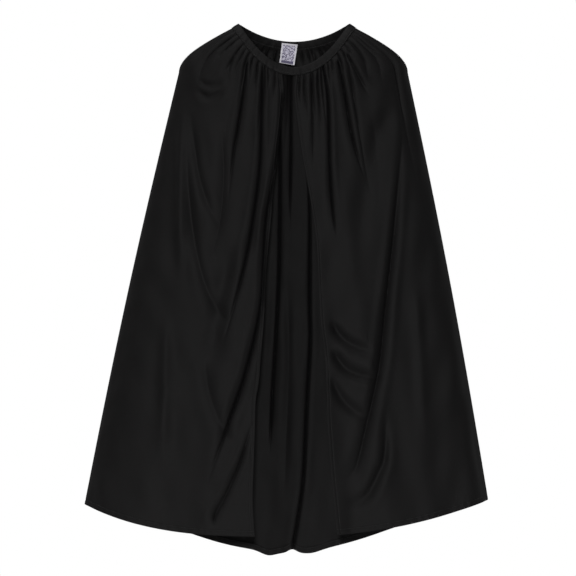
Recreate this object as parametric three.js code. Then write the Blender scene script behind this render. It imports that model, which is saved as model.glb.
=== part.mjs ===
// A child's superhero cape, hanging as it does from a pair of shoulders or a hanger.
//
// The body is thin cloth: a back panel that wraps round both sides, and two front panels. They are
// gathered into a narrow neckband that closes at the front with a hook-and-loop patch. A woven label
// hangs inside the back of the neck.
//
// Units are millimetres and +Z is up. The wearer faces -Y, so the wearer's left is +X. The origin is
// the centre of the neck opening, level with the band's seam line at the two neck points, where the
// cape rests on the shoulders. Angles round the neck run from 0 at the wearer's left, through 90 at
// the back and 180 at the right, to 270 at the front.
//
// Each front panel swings about the straight crease on which the cloth folds when the cape is opened.
import * as THREE from "three";

// Neck opening and neckband
const neckHalfWidth = 72; // at the band's upper edge
const neckHalfDepth = 30;
const bandHeight = 11;
const bandThickness = 1.8;
const bandRise = 6.4; // the upper edge above the origin, at a neck point
const frontNeckDrop = 57; // of the upper edge, from a neck point to the centre front
const backNeckDrop = 22;
const bandLeanAtSide = 58; // degrees from upright, where the band lies on a shoulder
const bandLeanAtCentre = 14;

// Outline of the hanging cloth
const shoulderHalfWidth = 151;
const shoulderDrop = 57;
const hemHalfWidth = 266;
const sideBow = 4; // how far a side bows out of a straight line
const cornerDrop = 622; // from the origin to the hem at a side
const frontHemDrop = 670; // to the hem at the front edges
const backHemDrop = 699; // to the hem at the centre back
const frontHemCurve = 2.8; // powers of the hem's rise from the centre to a side
const backHemCurve = 1.1;
const frontDepthTop = 33; // half-depths of the hanging section
const frontDepthHem = 60;
const backDepthTop = 33;
const backDepthHem = 66;
const depthEase = 0.4; // power of the depth's growth over the shoulder
const settleLength = 105; // down which the cloth leaves the band for the hanging section
const clothThickness = 1.6;

// Front opening, as distances to each side of the centre
const leftEdgeTop = 2;
const leftEdgeHem = 52;
const rightEdgeTop = 11;
const rightEdgeHem = 56;

// The crease on which each front panel folds open
const creaseTop = 56;
const creaseHem = 196;

// Closure: the left end of the band laps over the right end
const tabReach = 14; // past the centre
const underlapStop = 1; // short of the centre, so that both ends can swing clear
const patchWidth = 10;
const patchHeight = 8;
const patchThickness = 0.9;
const stepLength = 24; // along which the right end steps in behind the left

// Label, sewn by its upper edge to the inside of the back band
const labelWidth = 21;
const labelLength = 27;
const labelOffset = -5.5; // of the middle of its upper edge from the centre
const labelThickness = 0.6;
const labelSlant = 6; // degrees, as it hangs
const labelBelowEdge = 2.5; // below the band's upper edge

// Sewing thread: each seam is one narrow line
const threadWidth = 0.8;
const threadThickness = 0.5;
const hemStitchInset = 7;
const edgeStitchInset = 5;
const bandStitchInset = 1.4;

const gap = 0.3; // between pieces that touch in the cloth
const acrossBack = 26; // grid steps of the panels and the band
const acrossSide = 6;
const acrossFront = 11;
const downSteps = 17;
const bandSteps = 15;
const downEase = 1.6; // power that crowds the rows towards the neck

const { lerp, clamp, degToRad } = THREE.MathUtils;
const smooth = (t) => THREE.MathUtils.smoothstep(t, 0, 1);
const eased = (t) => Math.sin((t * Math.PI) / 2);
const down = new THREE.Vector3(0, 0, -1);

// ---- Neckband ----

const lapDepth = bandThickness + 2 * patchThickness + 3 * gap;

// How far the right end of the band has stepped in behind the left end, at an angle.
function stepIn(angle) {
  if (angle < Math.PI) return 0;
  const start = -tabReach - 2 - stepLength;
  return lapDepth * smooth((neckHalfWidth * Math.cos(angle) - start) / stepLength);
}

// The upper edge of the band at an angle, with the directions along the band, down its face and out.
function bandFrame(angle) {
  const c = Math.cos(angle);
  const s = Math.sin(angle);
  const drop = s < 0 ? frontNeckDrop : backNeckDrop;
  const depth = neckHalfDepth - stepIn(angle);
  const edge = new THREE.Vector3(neckHalfWidth * c, depth * s, bandRise - drop * s * s);
  const along = new THREE.Vector3(-neckHalfWidth * s, depth * c, -2 * drop * s * c).normalize();
  const outward = new THREE.Vector3(c / neckHalfWidth, s / depth, 0).normalize();
  const lean = degToRad(lerp(bandLeanAtCentre, bandLeanAtSide, c ** 4));
  const fall = down.clone().multiplyScalar(Math.cos(lean)).addScaledVector(outward, Math.sin(lean));
  fall.addScaledVector(along, -fall.dot(along)).normalize();
  const normal = new THREE.Vector3().crossVectors(fall, along).normalize();
  return { edge, fall, normal };
}

// The angles on the wearer's left and right at which the front of the band's upper edge is at x.
const leftAngleAt = (x) => -Math.acos(clamp(x / neckHalfWidth, -1, 1));
const rightAngleAt = (x) => 2 * Math.PI + leftAngleAt(x);

// A strip of the band: between two angles, from and to are distances down from the upper edge, and
// low and high are distances out from the middle of the band.
function bandStrip(first, last, steps, { from = 0, to = bandHeight, low, high }) {
  return sweep(steps, (i) => {
    const { edge, fall, normal } = bandFrame(lerp(first, last, i / steps));
    const at = (d, h) => edge.clone().addScaledVector(fall, d).addScaledVector(normal, h);
    return [at(from, low), at(to, low), at(to, high), at(from, high)];
  });
}

// ---- The surface that the cloth hangs on ----

// Where a line of cloth meets the band at an angle, with the band's outward direction there.
function seamAt(angle) {
  const { edge, fall, normal } = bandFrame(angle);
  const point = edge.clone().addScaledVector(fall, bandHeight + gap);
  return { point: point.addScaledVector(normal, clothThickness / 2), normal };
}

const neckPoint = seamAt(0).point;

// Half the width of the cape at a height.
function halfWidthAt(z) {
  if (z > -shoulderDrop) {
    const t = Math.max(0, (neckPoint.z - z) / (neckPoint.z + shoulderDrop));
    return lerp(neckPoint.x, shoulderHalfWidth, eased(t));
  }
  const t = (-z - shoulderDrop) / (cornerDrop - shoulderDrop);
  return lerp(shoulderHalfWidth, hemHalfWidth, t) + sideBow * Math.sin(Math.min(t, 1) * Math.PI);
}

// Half the depth of the cape at a height, in front (side -1) or behind (side +1).
function halfDepthAt(z, side) {
  const [top, hem] = side < 0 ? [frontDepthTop, frontDepthHem] : [backDepthTop, backDepthHem];
  const seamZ = seamAt((side * Math.PI) / 2).point.z;
  if (z > seamZ) {
    return top * Math.pow(Math.max(0, (neckPoint.z - z) / (neckPoint.z - seamZ)), depthEase);
  }
  return lerp(top, hem, (seamZ - z) / (seamZ + backHemDrop));
}

// How far behind the plane of the two sides the hanging section is.
function hangingDepth(x, z, side) {
  const share = clamp(x / halfWidthAt(z), -1, 1);
  return side * halfDepthAt(z, side) * Math.sqrt(1 - share * share);
}

// Height of the hem at a distance x from the centre.
function hemHeightAt(x, side) {
  const [centre, curve] = side < 0 ? [frontHemDrop, frontHemCurve] : [backHemDrop, backHemCurve];
  return -lerp(centre, cornerDrop, Math.pow(Math.min(1, Math.abs(x) / hemHalfWidth), curve));
}

// The straight crease, as distance from the centre at a height.
function creaseAt(z, hand) {
  const top = seamAt(hand > 0 ? leftAngleAt(creaseTop) : rightAngleAt(-creaseTop)).point;
  const t = (z - top.z) / (hemHeightAt(creaseHem, -1) - top.z);
  return lerp(Math.abs(top.x), creaseHem, t);
}

// ---- Lines down the cloth, from the band to the hem ----

// A line down a front panel; k is 0 at its front edge and 1 at its crease.
function frontLine(hand, k) {
  const [edgeTop, edgeHem] = hand > 0 ? [leftEdgeTop, leftEdgeHem] : [rightEdgeTop, rightEdgeHem];
  const angleAt = hand > 0 ? leftAngleAt : rightAngleAt;
  const seam = seamAt(lerp(angleAt(hand * edgeTop), angleAt(hand * creaseTop), k));
  const hemX = hand * lerp(edgeHem, creaseHem, k);
  return { seam, side: -1, hemZ: hemHeightAt(hemX, -1), xAt: (z, t) => lerp(seam.point.x, hemX, t) };
}

// A line down the side wrap; k is 0 at the crease and 1 at the side.
function sideLine(hand, k) {
  const crease = hand > 0 ? leftAngleAt(creaseTop) : rightAngleAt(-creaseTop);
  const seam = seamAt(lerp(crease, hand > 0 ? 0 : Math.PI, k));
  const start = (z) => creaseAt(z, hand) + 2 * gap;
  const xFor = (z, share) => lerp(start(z), halfWidthAt(z), share);
  const seamZ = seam.point.z;
  const seamShare = clamp((Math.abs(seam.point.x) - start(seamZ)) / (halfWidthAt(seamZ) - start(seamZ)), 0, 1);
  const hemX = xFor(-cornerDrop, eased(k));
  return {
    seam,
    side: -1,
    hemZ: hemHeightAt(hemX, -1),
    xAt: (z, t) => hand * xFor(z, lerp(seamShare, eased(k), t)),
  };
}

// A line down the back; k is 0 at the wearer's left side and 1 at the right.
function backLine(k) {
  const seam = seamAt(Math.PI * k);
  const seamShare = seam.point.x / halfWidthAt(seam.point.z);
  const hemShare = Math.cos(Math.PI * k);
  return {
    seam,
    side: 1,
    hemZ: hemHeightAt(hemShare * hemHalfWidth, 1),
    xAt: (z, t) => lerp(seamShare, hemShare, t) * halfWidthAt(z),
  };
}

// The point of a line at a share t of the way down.
function pointOn({ seam, side, hemZ, xAt }, t) {
  const start = seam.point;
  const z = lerp(start.z, hemZ, t);
  const x = xAt(z, t);
  const offset = start.y - hangingDepth(start.x, start.z, side);
  const left = 1 - smooth((t * (start.z - hemZ)) / settleLength);
  return new THREE.Vector3(x, hangingDepth(x, z, side) + offset * left, z);
}

// A grid of surface points and outward normals, from lines that go round as the angles do. The last
// row but one lies on the hem stitching.
function clothGrid(lines) {
  const rows = [];
  for (let i = 0; i <= downSteps + 1; i++) {
    rows.push(
      lines.map((line) => {
        const stitch = 1 + hemStitchInset / (line.hemZ - line.seam.point.z);
        return pointOn(line, i > downSteps ? 1 : stitch * Math.pow(i / downSteps, downEase));
      }),
    );
  }
  return rows.map((row, i) =>
    row.map((point, j) => ({ point, normal: i ? gridNormal(rows, i, j) : lines[j].seam.normal })),
  );
}

function gridNormal(rows, i, j) {
  const row = rows[i];
  const across = row[Math.min(j + 1, row.length - 1)].clone().sub(row[Math.max(j - 1, 0)]);
  const fall = rows[Math.min(i + 1, rows.length - 1)][j].clone().sub(rows[i - 1][j]);
  return fall.cross(across).normalize();
}

// ---- Closed solids from rows of points ----

// Turns the triangles, if they need it, so that the closed surface faces out.
function solidFrom(points, faces) {
  let volume = 0;
  for (const [a, b, c] of faces) {
    volume += points[a].dot(points[b].clone().cross(points[c]));
  }
  const outward = volume < 0 ? faces.map(([a, b, c]) => [a, c, b]) : faces;
  const geometry = new THREE.BufferGeometry().setFromPoints(points);
  geometry.setIndex(outward.flat());
  geometry.computeVertexNormals();
  return geometry;
}

// A solid swept through sections that all have the same number of points, with flat ends.
function sweep(steps, sectionAt) {
  const sections = Array.from({ length: steps + 1 }, (_, i) => sectionAt(i));
  const n = sections[0].length;
  const faces = [];
  for (let i = 0; i < steps; i++) {
    for (let j = 0; j < n; j++) {
      const a = i * n + j;
      const b = i * n + ((j + 1) % n);
      faces.push([a, b, b + n], [a, b + n, a + n]);
    }
  }
  const end = steps * n;
  for (let j = 1; j < n - 1; j++) {
    faces.push([0, j + 1, j], [end, end + j, end + j + 1]);
  }
  return solidFrom(sections.flat(), faces);
}

// A sheet of cloth whose outer face is the grid, with its inner face a cloth thickness inside.
function clothSolid(grid) {
  const rows = grid.length;
  const columns = grid[0].length;
  const outer = grid.flat().map((g) => g.point);
  const inner = grid.flat().map((g) => g.point.clone().addScaledVector(g.normal, -clothThickness));
  const offset = rows * columns;
  const faces = [];
  const quad = (a, b, c, d) => faces.push([a, b, c], [a, c, d]);
  for (let i = 0; i < rows - 1; i++) {
    for (let j = 0; j < columns - 1; j++) {
      const a = i * columns + j;
      const d = a + columns;
      quad(a, a + 1, d + 1, d);
      quad(offset + a, offset + d, offset + d + 1, offset + a + 1);
    }
  }
  const rim = (a, b) => quad(b, a, offset + a, offset + b);
  for (let j = 0; j < columns - 1; j++) {
    rim(j, j + 1);
    rim(offset - columns + j + 1, offset - columns + j);
  }
  for (let i = 0; i < rows - 1; i++) {
    rim((i + 1) * columns, i * columns);
    rim((i + 1) * columns - 1, (i + 2) * columns - 1);
  }
  return solidFrom([...outer, ...inner], faces);
}

// A line of thread laid on a row of surface points.
function threadAlong(row) {
  return sweep(row.length - 1, (i) => {
    const { point, normal } = row[i];
    const before = row[Math.max(0, i - 1)].point;
    const after = row[Math.min(row.length - 1, i + 1)].point;
    const across = after.clone().sub(before).cross(normal).normalize();
    const at = (w, h) => point.clone().addScaledVector(across, w).addScaledVector(normal, h);
    const half = threadWidth / 2;
    const top = gap + threadThickness;
    return [at(-half, gap), at(half, gap), at(half, top), at(-half, top)];
  });
}

// ---- Materials ----

const cloth = (color, roughness) => new THREE.MeshStandardMaterial({ color, roughness, metalness: 0 });
const clothBlack = cloth(0x1b1a1b, 0.8);
const bandBlack = cloth(0x1d1c1d, 0.75);
const threadBlack = cloth(0x121212, 0.6);
const hookBlack = cloth(0x151515, 0.9);
const loopBlack = cloth(0x181818, 0.95);
const labelWhite = cloth(0xe9e6ee, 0.7);

// ---- Assembly ----

const cape = new THREE.Group();

function addPiece(name, geometry, material) {
  const mesh = new THREE.Mesh(geometry, material.clone());
  mesh.name = name;
  cape.add(mesh);
  return mesh;
}

// Each of a number of evenly spaced shares from 0 to 1, both included.
const shares = (steps) => Array.from({ length: steps + 1 }, (_, i) => i / steps);

function addBackPanel() {
  const lines = [
    ...shares(acrossSide).map((k) => sideLine(1, k)),
    ...shares(acrossBack).slice(1, -1).map((k) => backLine(k)),
    ...shares(acrossSide).map((k) => sideLine(-1, 1 - k)),
  ];
  const grid = clothGrid(lines);
  addPiece("back_panel", clothSolid(grid), clothBlack);
  addPiece("back_hem_stitch", threadAlong(grid[downSteps]), threadBlack);
}

function addFrontPanel(hand, word) {
  const lines = shares(acrossFront).map((k) => frontLine(hand, hand > 0 ? k : 1 - k));
  const grid = clothGrid(lines);
  addPiece(`${word}_front_panel`, clothSolid(grid), clothBlack);
  const inner = (row) => (hand > 0 ? row.slice(1) : row.slice(0, -1));
  addPiece(`${word}_hem_stitch`, threadAlong(inner(grid[downSteps])), threadBlack);
  addPiece(`${word}_edge_stitch`, threadAlong(edgeRow(grid, hand)), threadBlack);
}

// Points down a front edge, an inset from it, as far as the hem stitching.
function edgeRow(grid, hand) {
  return grid.slice(1, -1).map((row) => {
    const [edge, next] = hand > 0 ? [row[0], row[1]] : [row[acrossFront], row[acrossFront - 1]];
    const share = Math.min(0.9, edgeStitchInset / edge.point.distanceTo(next.point));
    const normal = edge.normal.clone().lerp(next.normal, share).normalize();
    return { point: edge.point.clone().lerp(next.point, share), normal };
  });
}

function addNeckband() {
  const half = bandThickness / 2;
  const stitch = {
    from: bandHeight - bandStitchInset - threadWidth,
    to: bandHeight - bandStitchInset,
    low: half + gap,
    high: half + gap + threadThickness,
  };
  const clear = (2 * gap) / neckHalfWidth; // as an angle
  const [leftCrease, rightCrease] = [leftAngleAt(creaseTop), rightAngleAt(-creaseTop)];
  const [tip, underTip] = [leftAngleAt(-tabReach), rightAngleAt(-underlapStop)];
  const lapStart = rightAngleAt(-tabReach - 2);
  const spans = [
    { word: "back", first: leftCrease + clear, last: rightCrease - clear, steps: 3 * bandSteps },
    { word: "left", first: tip, last: leftCrease, steps: bandSteps },
    { word: "right", first: rightCrease, last: underTip, steps: bandSteps, sewnTo: lapStart },
  ];
  for (const { word, first, last, steps, sewnTo = last } of spans) {
    addPiece(`neckband_${word}`, bandStrip(first, last, steps, { low: -half, high: half }), bandBlack);
    addPiece(`neckband_${word}_stitch`, bandStrip(first, sewnTo, steps, stitch), threadBlack);
  }
}

// The hook patch is behind the left end of the band, and the loop patch is on the right end.
function addClosure() {
  const half = bandThickness / 2;
  const middle = -(tabReach + underlapStop) / 2;
  const [first, last] = [leftAngleAt(middle - patchWidth / 2), leftAngleAt(middle + patchWidth / 2)];
  const from = (bandHeight - patchHeight) / 2;
  const steps = 3;
  const addPatch = (name, high, thickness, to, material) => {
    const strip = bandStrip(first, last, steps, { from, to, low: high - thickness, high });
    addPiece(name, strip, material);
  };
  const hookOuter = -half - gap;
  const to = from + patchHeight;
  addPatch("hook_patch", hookOuter, patchThickness, to, hookBlack);
  addPatch("loop_patch", hookOuter - patchThickness - gap, patchThickness, to, loopBlack);
  const stitchOuter = half + gap + threadThickness;
  addPatch("hook_patch_stitch", stitchOuter, threadThickness, from + threadWidth, threadBlack);
}

// The woven label is a flat piece that hangs from its upper edge inside the back of the band.
function addLabel() {
  const { edge, fall, normal } = bandFrame(Math.PI / 2);
  const seam = edge.clone().addScaledVector(fall, labelBelowEdge);
  seam.addScaledVector(normal, -bandThickness / 2);
  const reach = (Math.abs(labelOffset) + labelWidth / 2) / neckHalfWidth;
  const bow = neckHalfDepth * (1 - Math.sqrt(1 - reach * reach)); // the flat label clears the curve
  const slack = bow + labelBelowEdge * Math.tan(degToRad(bandLeanAtCentre));
  const hung = (width, thickness, length, below, behind) => {
    const box = new THREE.BoxGeometry(width, thickness, length);
    box.translate(0, -behind - thickness / 2, -below - length / 2);
    box.rotateY(degToRad(labelSlant));
    return box.translate(seam.x + labelOffset, seam.y - slack, seam.z);
  };
  addPiece("woven_label", hung(labelWidth, labelThickness, labelLength, 0, gap), labelWhite);
  const behind = labelThickness + 2 * gap;
  const thread = hung(labelWidth - 2, threadThickness, threadWidth, threadWidth, behind);
  addPiece("label_stitch", thread, threadBlack);
}

addBackPanel();
addFrontPanel(1, "left");
addFrontPanel(-1, "right");
addNeckband();
addClosure();
addLabel();

export default cape;
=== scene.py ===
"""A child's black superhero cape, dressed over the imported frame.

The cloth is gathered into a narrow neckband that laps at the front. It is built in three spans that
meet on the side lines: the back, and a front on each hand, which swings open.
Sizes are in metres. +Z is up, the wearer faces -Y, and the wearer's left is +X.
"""

import logging
import math
from dataclasses import dataclass, field
from enum import Enum
from typing import Sequence, Union

import bpy
import numpy as np
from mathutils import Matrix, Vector


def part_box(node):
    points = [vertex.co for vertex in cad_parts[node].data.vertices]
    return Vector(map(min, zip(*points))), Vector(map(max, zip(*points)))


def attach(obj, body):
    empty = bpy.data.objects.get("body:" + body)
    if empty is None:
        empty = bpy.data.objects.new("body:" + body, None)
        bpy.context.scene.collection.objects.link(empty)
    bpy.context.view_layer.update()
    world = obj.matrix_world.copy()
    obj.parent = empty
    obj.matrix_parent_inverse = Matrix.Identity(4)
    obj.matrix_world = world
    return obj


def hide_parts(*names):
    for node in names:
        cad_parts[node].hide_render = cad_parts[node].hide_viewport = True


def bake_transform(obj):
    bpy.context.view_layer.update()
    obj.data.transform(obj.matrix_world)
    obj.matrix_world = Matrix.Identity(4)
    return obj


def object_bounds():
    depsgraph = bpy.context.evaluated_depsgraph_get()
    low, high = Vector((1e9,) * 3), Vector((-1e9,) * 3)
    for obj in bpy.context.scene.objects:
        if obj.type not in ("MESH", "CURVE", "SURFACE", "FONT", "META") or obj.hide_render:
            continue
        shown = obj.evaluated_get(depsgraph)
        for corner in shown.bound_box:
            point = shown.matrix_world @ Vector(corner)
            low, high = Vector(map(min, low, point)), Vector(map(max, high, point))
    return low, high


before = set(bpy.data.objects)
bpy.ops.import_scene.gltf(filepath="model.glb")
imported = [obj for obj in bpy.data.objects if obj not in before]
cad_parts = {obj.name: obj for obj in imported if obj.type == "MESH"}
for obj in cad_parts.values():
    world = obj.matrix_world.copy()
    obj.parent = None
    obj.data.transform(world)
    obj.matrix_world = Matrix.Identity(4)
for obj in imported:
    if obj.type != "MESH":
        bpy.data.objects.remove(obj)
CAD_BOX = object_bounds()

log = logging.getLogger("cape")
Grid = np.ndarray
Path2D = tuple[tuple[float, float], ...]
MM = 0.001


class Body(str, Enum):
    """The frame's bodies."""

    BACK = "back"
    LEFT = "left_front"
    RIGHT = "right_front"
    LABEL = "label"


class Hand(int, Enum):
    """A side of the wearer, as the sign of its X."""

    LEFT = 1
    RIGHT = -1

    @property
    def word(self) -> str:
        """The name that pieces on this hand start with."""
        return "left" if self is Hand.LEFT else "right"

    @property
    def body(self) -> Body:
        """The front body on this hand."""
        return Body.LEFT if self is Hand.LEFT else Body.RIGHT


# ---------------------------------------------------------------- numbers


def smooth(t: Grid | float) -> Grid:
    """An ease from 0 to 1 with level ends."""
    t = np.clip(t, 0.0, 1.0)
    return t * t * (3 - 2 * t)


def blend_values(a: Grid | float, b: Grid | float, t: Grid | float) -> Grid:
    """The value a share t of the way from a to b."""
    return a + (b - a) * t


def unit(v: Grid) -> Grid:
    """Vectors along the last axis, each of length one."""
    return v / np.maximum(np.linalg.norm(v, axis=-1, keepdims=True), 1e-12)


def run_lengths(line: Grid) -> Grid:
    """The distance along a line to each of its points."""
    return np.cumsum([0, *np.linalg.norm(np.diff(line, axis=0), axis=1)])


def along_line(values: Grid, lengths: Grid, at: Grid) -> Grid:
    """The X, Y and Z that a line carries, at some distances along it."""
    return np.stack([np.interp(at, lengths, values[:, k]) for k in range(3)], -1)


def spline(points: Sequence[tuple[float, float]], steps: int) -> Grid:
    """A smooth curve through a few points.

    Args:
        points: The points, as (x, z).
        steps: How many points the curve has.

    Returns:
        The curve's points, evenly spread over the stretches between the given ones.
    """
    p = np.array(points, float)
    p = np.vstack([2 * p[0] - p[1], p, 2 * p[-1] - p[-2]])
    at = np.linspace(0, len(p) - 3 - 1e-9, steps)
    i = at.astype(int)
    t = (at - i)[:, None]
    a, b, c, d = p[i], p[i + 1], p[i + 2], p[i + 3]
    return 0.5 * (2 * b + (c - a) * t + (2 * a - 5 * b + 4 * c - d) * t**2 + (3 * b - a - 3 * c + d) * t**3)


# ---------------------------------------------------------------- shader graphs

Number = Union[float, "Flow"]


class Flow:
    """A shader value that can stand in a Python expression."""

    def __init__(self, graph: "Graph", socket: bpy.types.NodeSocket) -> None:
        """Wraps an output socket of a graph's node."""
        self.graph = graph
        self.socket = socket

    def __add__(self, other: Number) -> "Flow":
        """This value plus another."""
        return self.graph.math("ADD", self, other)

    def __radd__(self, other: Number) -> "Flow":
        """Another value plus this one."""
        return self.graph.math("ADD", other, self)

    def __sub__(self, other: Number) -> "Flow":
        """This value less another."""
        return self.graph.math("SUBTRACT", self, other)

    def __rsub__(self, other: Number) -> "Flow":
        """Another value less this one."""
        return self.graph.math("SUBTRACT", other, self)

    def __mul__(self, other: Number) -> "Flow":
        """This value times another."""
        return self.graph.math("MULTIPLY", self, other)

    def __rmul__(self, other: Number) -> "Flow":
        """Another value times this one."""
        return self.graph.math("MULTIPLY", other, self)

    def __gt__(self, other: Number) -> "Flow":
        """One where this value is greater, and nought elsewhere."""
        return self.graph.math("GREATER_THAN", self, other)


class Graph:
    """The node graph of one material, ending in a Principled shader."""

    def __init__(self, name: str) -> None:
        """Starts a material of that name."""
        self.material = bpy.data.materials.new(name)
        self.material.use_nodes = True
        self.tree = self.material.node_tree
        self.shader = self.tree.nodes["Principled BSDF"]

    def node(self, kind: str, settings: dict, inputs: dict) -> bpy.types.Node:
        """Adds a node.

        Args:
            kind: The node's type, without ShaderNode.
            settings: Its properties. "stops" is a colour ramp's list of (place, colour).
            inputs: Its sockets by name or identifier, each a constant, a Flow or a socket.

        Returns:
            The node.
        """
        made = self.tree.nodes.new("ShaderNode" + kind)
        for key, value in settings.items():
            if key == "stops":
                self._ramp(made.color_ramp, value)
            else:
                setattr(made, key, value)
        for key, value in inputs.items():
            found = next((s for s in made.inputs if s.identifier == key), None)
            self.feed(found or made.inputs[key], value)
        return made

    @staticmethod
    def _ramp(ramp: bpy.types.ColorRamp, stops: Sequence[tuple[float, Sequence[float]]]) -> None:
        """Gives a colour ramp its stops."""
        while len(ramp.elements) < len(stops):
            ramp.elements.new(0.5)
        for element, (place, colour) in zip(ramp.elements, stops):
            element.position = place
            element.color = (*colour, 1.0)

    def feed(self, socket: bpy.types.NodeSocket, value: object) -> None:
        """Links a value to a socket, or sets it as the socket's constant."""
        if isinstance(value, Flow):
            value = value.socket
        if isinstance(value, bpy.types.NodeSocket):
            self.tree.links.new(value, socket)
        else:
            socket.default_value = value

    def flow(self, node: bpy.types.Node, output: str | int = 0) -> Flow:
        """One output of a node, as a value."""
        return Flow(self, node.outputs[output])

    def math(self, operation: str, *values: Number) -> Flow:
        """A Math node's result on one to three values."""
        made = self.node("Math", {"operation": operation}, {})
        for socket, value in zip(made.inputs, values):
            self.feed(socket, value)
        return self.flow(made)

    def mix(self, factor: Number, a: object, b: object) -> bpy.types.NodeSocket:
        """The colour a share of the way from a to b."""
        inputs = {"Factor_Float": factor, "A_Color": a, "B_Color": b}
        made = self.node("Mix", {"data_type": "RGBA"}, inputs)
        return next(s for s in made.outputs if s.identifier == "Result_Color")

    def coordinates(self, flat: bool = False) -> bpy.types.NodeSocket:
        """Places on the surface, in metres: along the cloth if flat, or else in the row frame."""
        if flat:
            return self.node("UVMap", {"uv_map": Solid.FLAT}, {}).outputs["UV"]
        return self.node("TexCoord", {}, {}).outputs["Object"]

    def noise(self, place: bpy.types.NodeSocket, scale: float, detail: float = 2.0) -> Flow:
        """Soft noise from 0 to 1."""
        inputs = {"Vector": place, "Scale": scale, "Detail": detail}
        return self.flow(self.node("TexNoise", {}, inputs), 0)

    def threads(self, place: bpy.types.NodeSocket, along: str, pitch: float, wander: float) -> Flow:
        """Parallel threads.

        Args:
            place: Where the surface is, in metres.
            along: The axis that the threads follow one another on, X or Y.
            pitch: From one thread to the next, in metres.
            wander: How far the threads stray, as a distortion.

        Returns:
            A wave that is 1 on each thread and 0 between them.
        """
        settings = {"wave_type": "BANDS", "bands_direction": along, "wave_profile": "SIN"}
        inputs = {"Vector": place, "Scale": math.pi / 10 / pitch, "Distortion": wander, "Detail": 1.0}
        return self.flow(self.node("TexWave", settings, inputs), 1)

    def bump(self, height: Flow, strength: float, distance: float) -> bpy.types.NodeSocket:
        """A normal that follows a height."""
        inputs = {"Height": height, "Strength": strength, "Distance": distance}
        return self.node("Bump", {}, inputs).outputs["Normal"]

    def attribute(self, name: str) -> Flow:
        """A value that the mesh carries at its points."""
        return self.flow(self.node("Attribute", {"attribute_name": name}, {}), "Fac")

    def finish(self, **sockets: object) -> bpy.types.Material:
        """Feeds the shader, by socket names with underscores for spaces, and gives the material."""
        for name, value in sockets.items():
            self.feed(self.shader.inputs[name.replace("_", " ")], value)
        return self.material


Colour = tuple[float, float, float, float]


@dataclass(frozen=True)
class WovenCloth:
    """Black woven polyester: matt, with a faint sheen, slubs, lint and paler worn edges."""

    name: str
    colour: Colour = (0.0062, 0.0059, 0.0060, 1.0)
    worn: Colour = (0.0128, 0.0123, 0.0125, 1.0)
    lint: Colour = (0.03, 0.03, 0.032, 1.0)
    thread_pitch: float = 0.42 * MM
    roughness: float = 0.62

    def build(self) -> bpy.types.Material:
        """Makes the material."""
        g = Graph(self.name)
        flat = g.coordinates(flat=True)
        place = g.coordinates()
        warp = g.threads(flat, "X", self.thread_pitch, 0.6)
        weft = g.threads(flat, "Y", self.thread_pitch, 0.6)
        weave = g.math("MAXIMUM", warp, weft)
        cloudy = g.noise(place, 9.0, 3.0)
        slub = g.noise(place, 160.0, 2.0)
        wear = g.attribute(Solid.WEAR)
        specks = (g.noise(place, 900.0, 1.0) > 0.735) * 0.5
        tone = 0.1 + cloudy * 0.34 + slub * 0.16 + (weave - 0.5) * 0.14 + wear * 0.42
        colour = g.mix(tone, self.colour, self.worn)
        colour = g.mix(specks, colour, self.lint)
        rough = self.roughness + (cloudy - 0.5) * 0.12 + (slub - 0.5) * 0.08 + wear * 0.06
        fine = g.bump(weave, 0.22, 0.12 * MM)
        swells = {"Height": g.noise(place, 38.0, 3.0), "Strength": 0.16, "Distance": 1.6 * MM, "Normal": fine}
        return g.finish(
            Base_Color=colour,
            Roughness=rough,
            Normal=g.node("Bump", {}, swells).outputs["Normal"],
            Specular_IOR_Level=0.12,
            Sheen_Weight=0.008,
            Sheen_Roughness=0.4,
            Sheen_Tint=(0.75, 0.75, 0.82, 1.0),
        )


@dataclass(frozen=True)
class SewingThread:
    """Spun sewing thread, with a twist."""

    name: str
    colour: Colour
    shade: Colour
    twist: float = 0.35 * MM

    def build(self) -> bpy.types.Material:
        """Makes the material."""
        g = Graph(self.name)
        place = g.coordinates()
        inputs = {"Vector": place, "Scale": math.pi / 10 / self.twist, "Distortion": 1.5}
        ply = g.flow(g.node("TexWave", {"bands_direction": "DIAGONAL"}, inputs), 1)
        tone = ply * 0.6 + g.noise(place, 260.0) * 0.4
        return g.finish(
            Base_Color=g.mix(tone, self.shade, self.colour),
            Roughness=0.45 + ply * 0.15,
            Normal=g.bump(ply, 0.5, 0.08 * MM),
            Specular_IOR_Level=0.35,
            Sheen_Weight=0.05,
        )


@dataclass(frozen=True)
class NylonTape:
    """Hook or loop tape: black nylon, glossier on hooks and fuzzier on loops."""

    name: str
    roughness: float
    sheen: float
    colour: Colour = (0.011, 0.011, 0.012, 1.0)
    pale: Colour = (0.028, 0.028, 0.030, 1.0)

    def build(self) -> bpy.types.Material:
        """Makes the material."""
        g = Graph(self.name)
        place = g.coordinates()
        fuzz = g.noise(place, 1400.0, 3.0)
        patchy = g.noise(place, 220.0, 2.0)
        return g.finish(
            Base_Color=g.mix(fuzz * 0.6 + patchy * 0.3, self.colour, self.pale),
            Roughness=self.roughness + (patchy - 0.5) * 0.15,
            Normal=g.bump(fuzz, 0.4, 0.15 * MM),
            Specular_IOR_Level=0.4,
            Sheen_Weight=self.sheen,
        )


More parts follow.
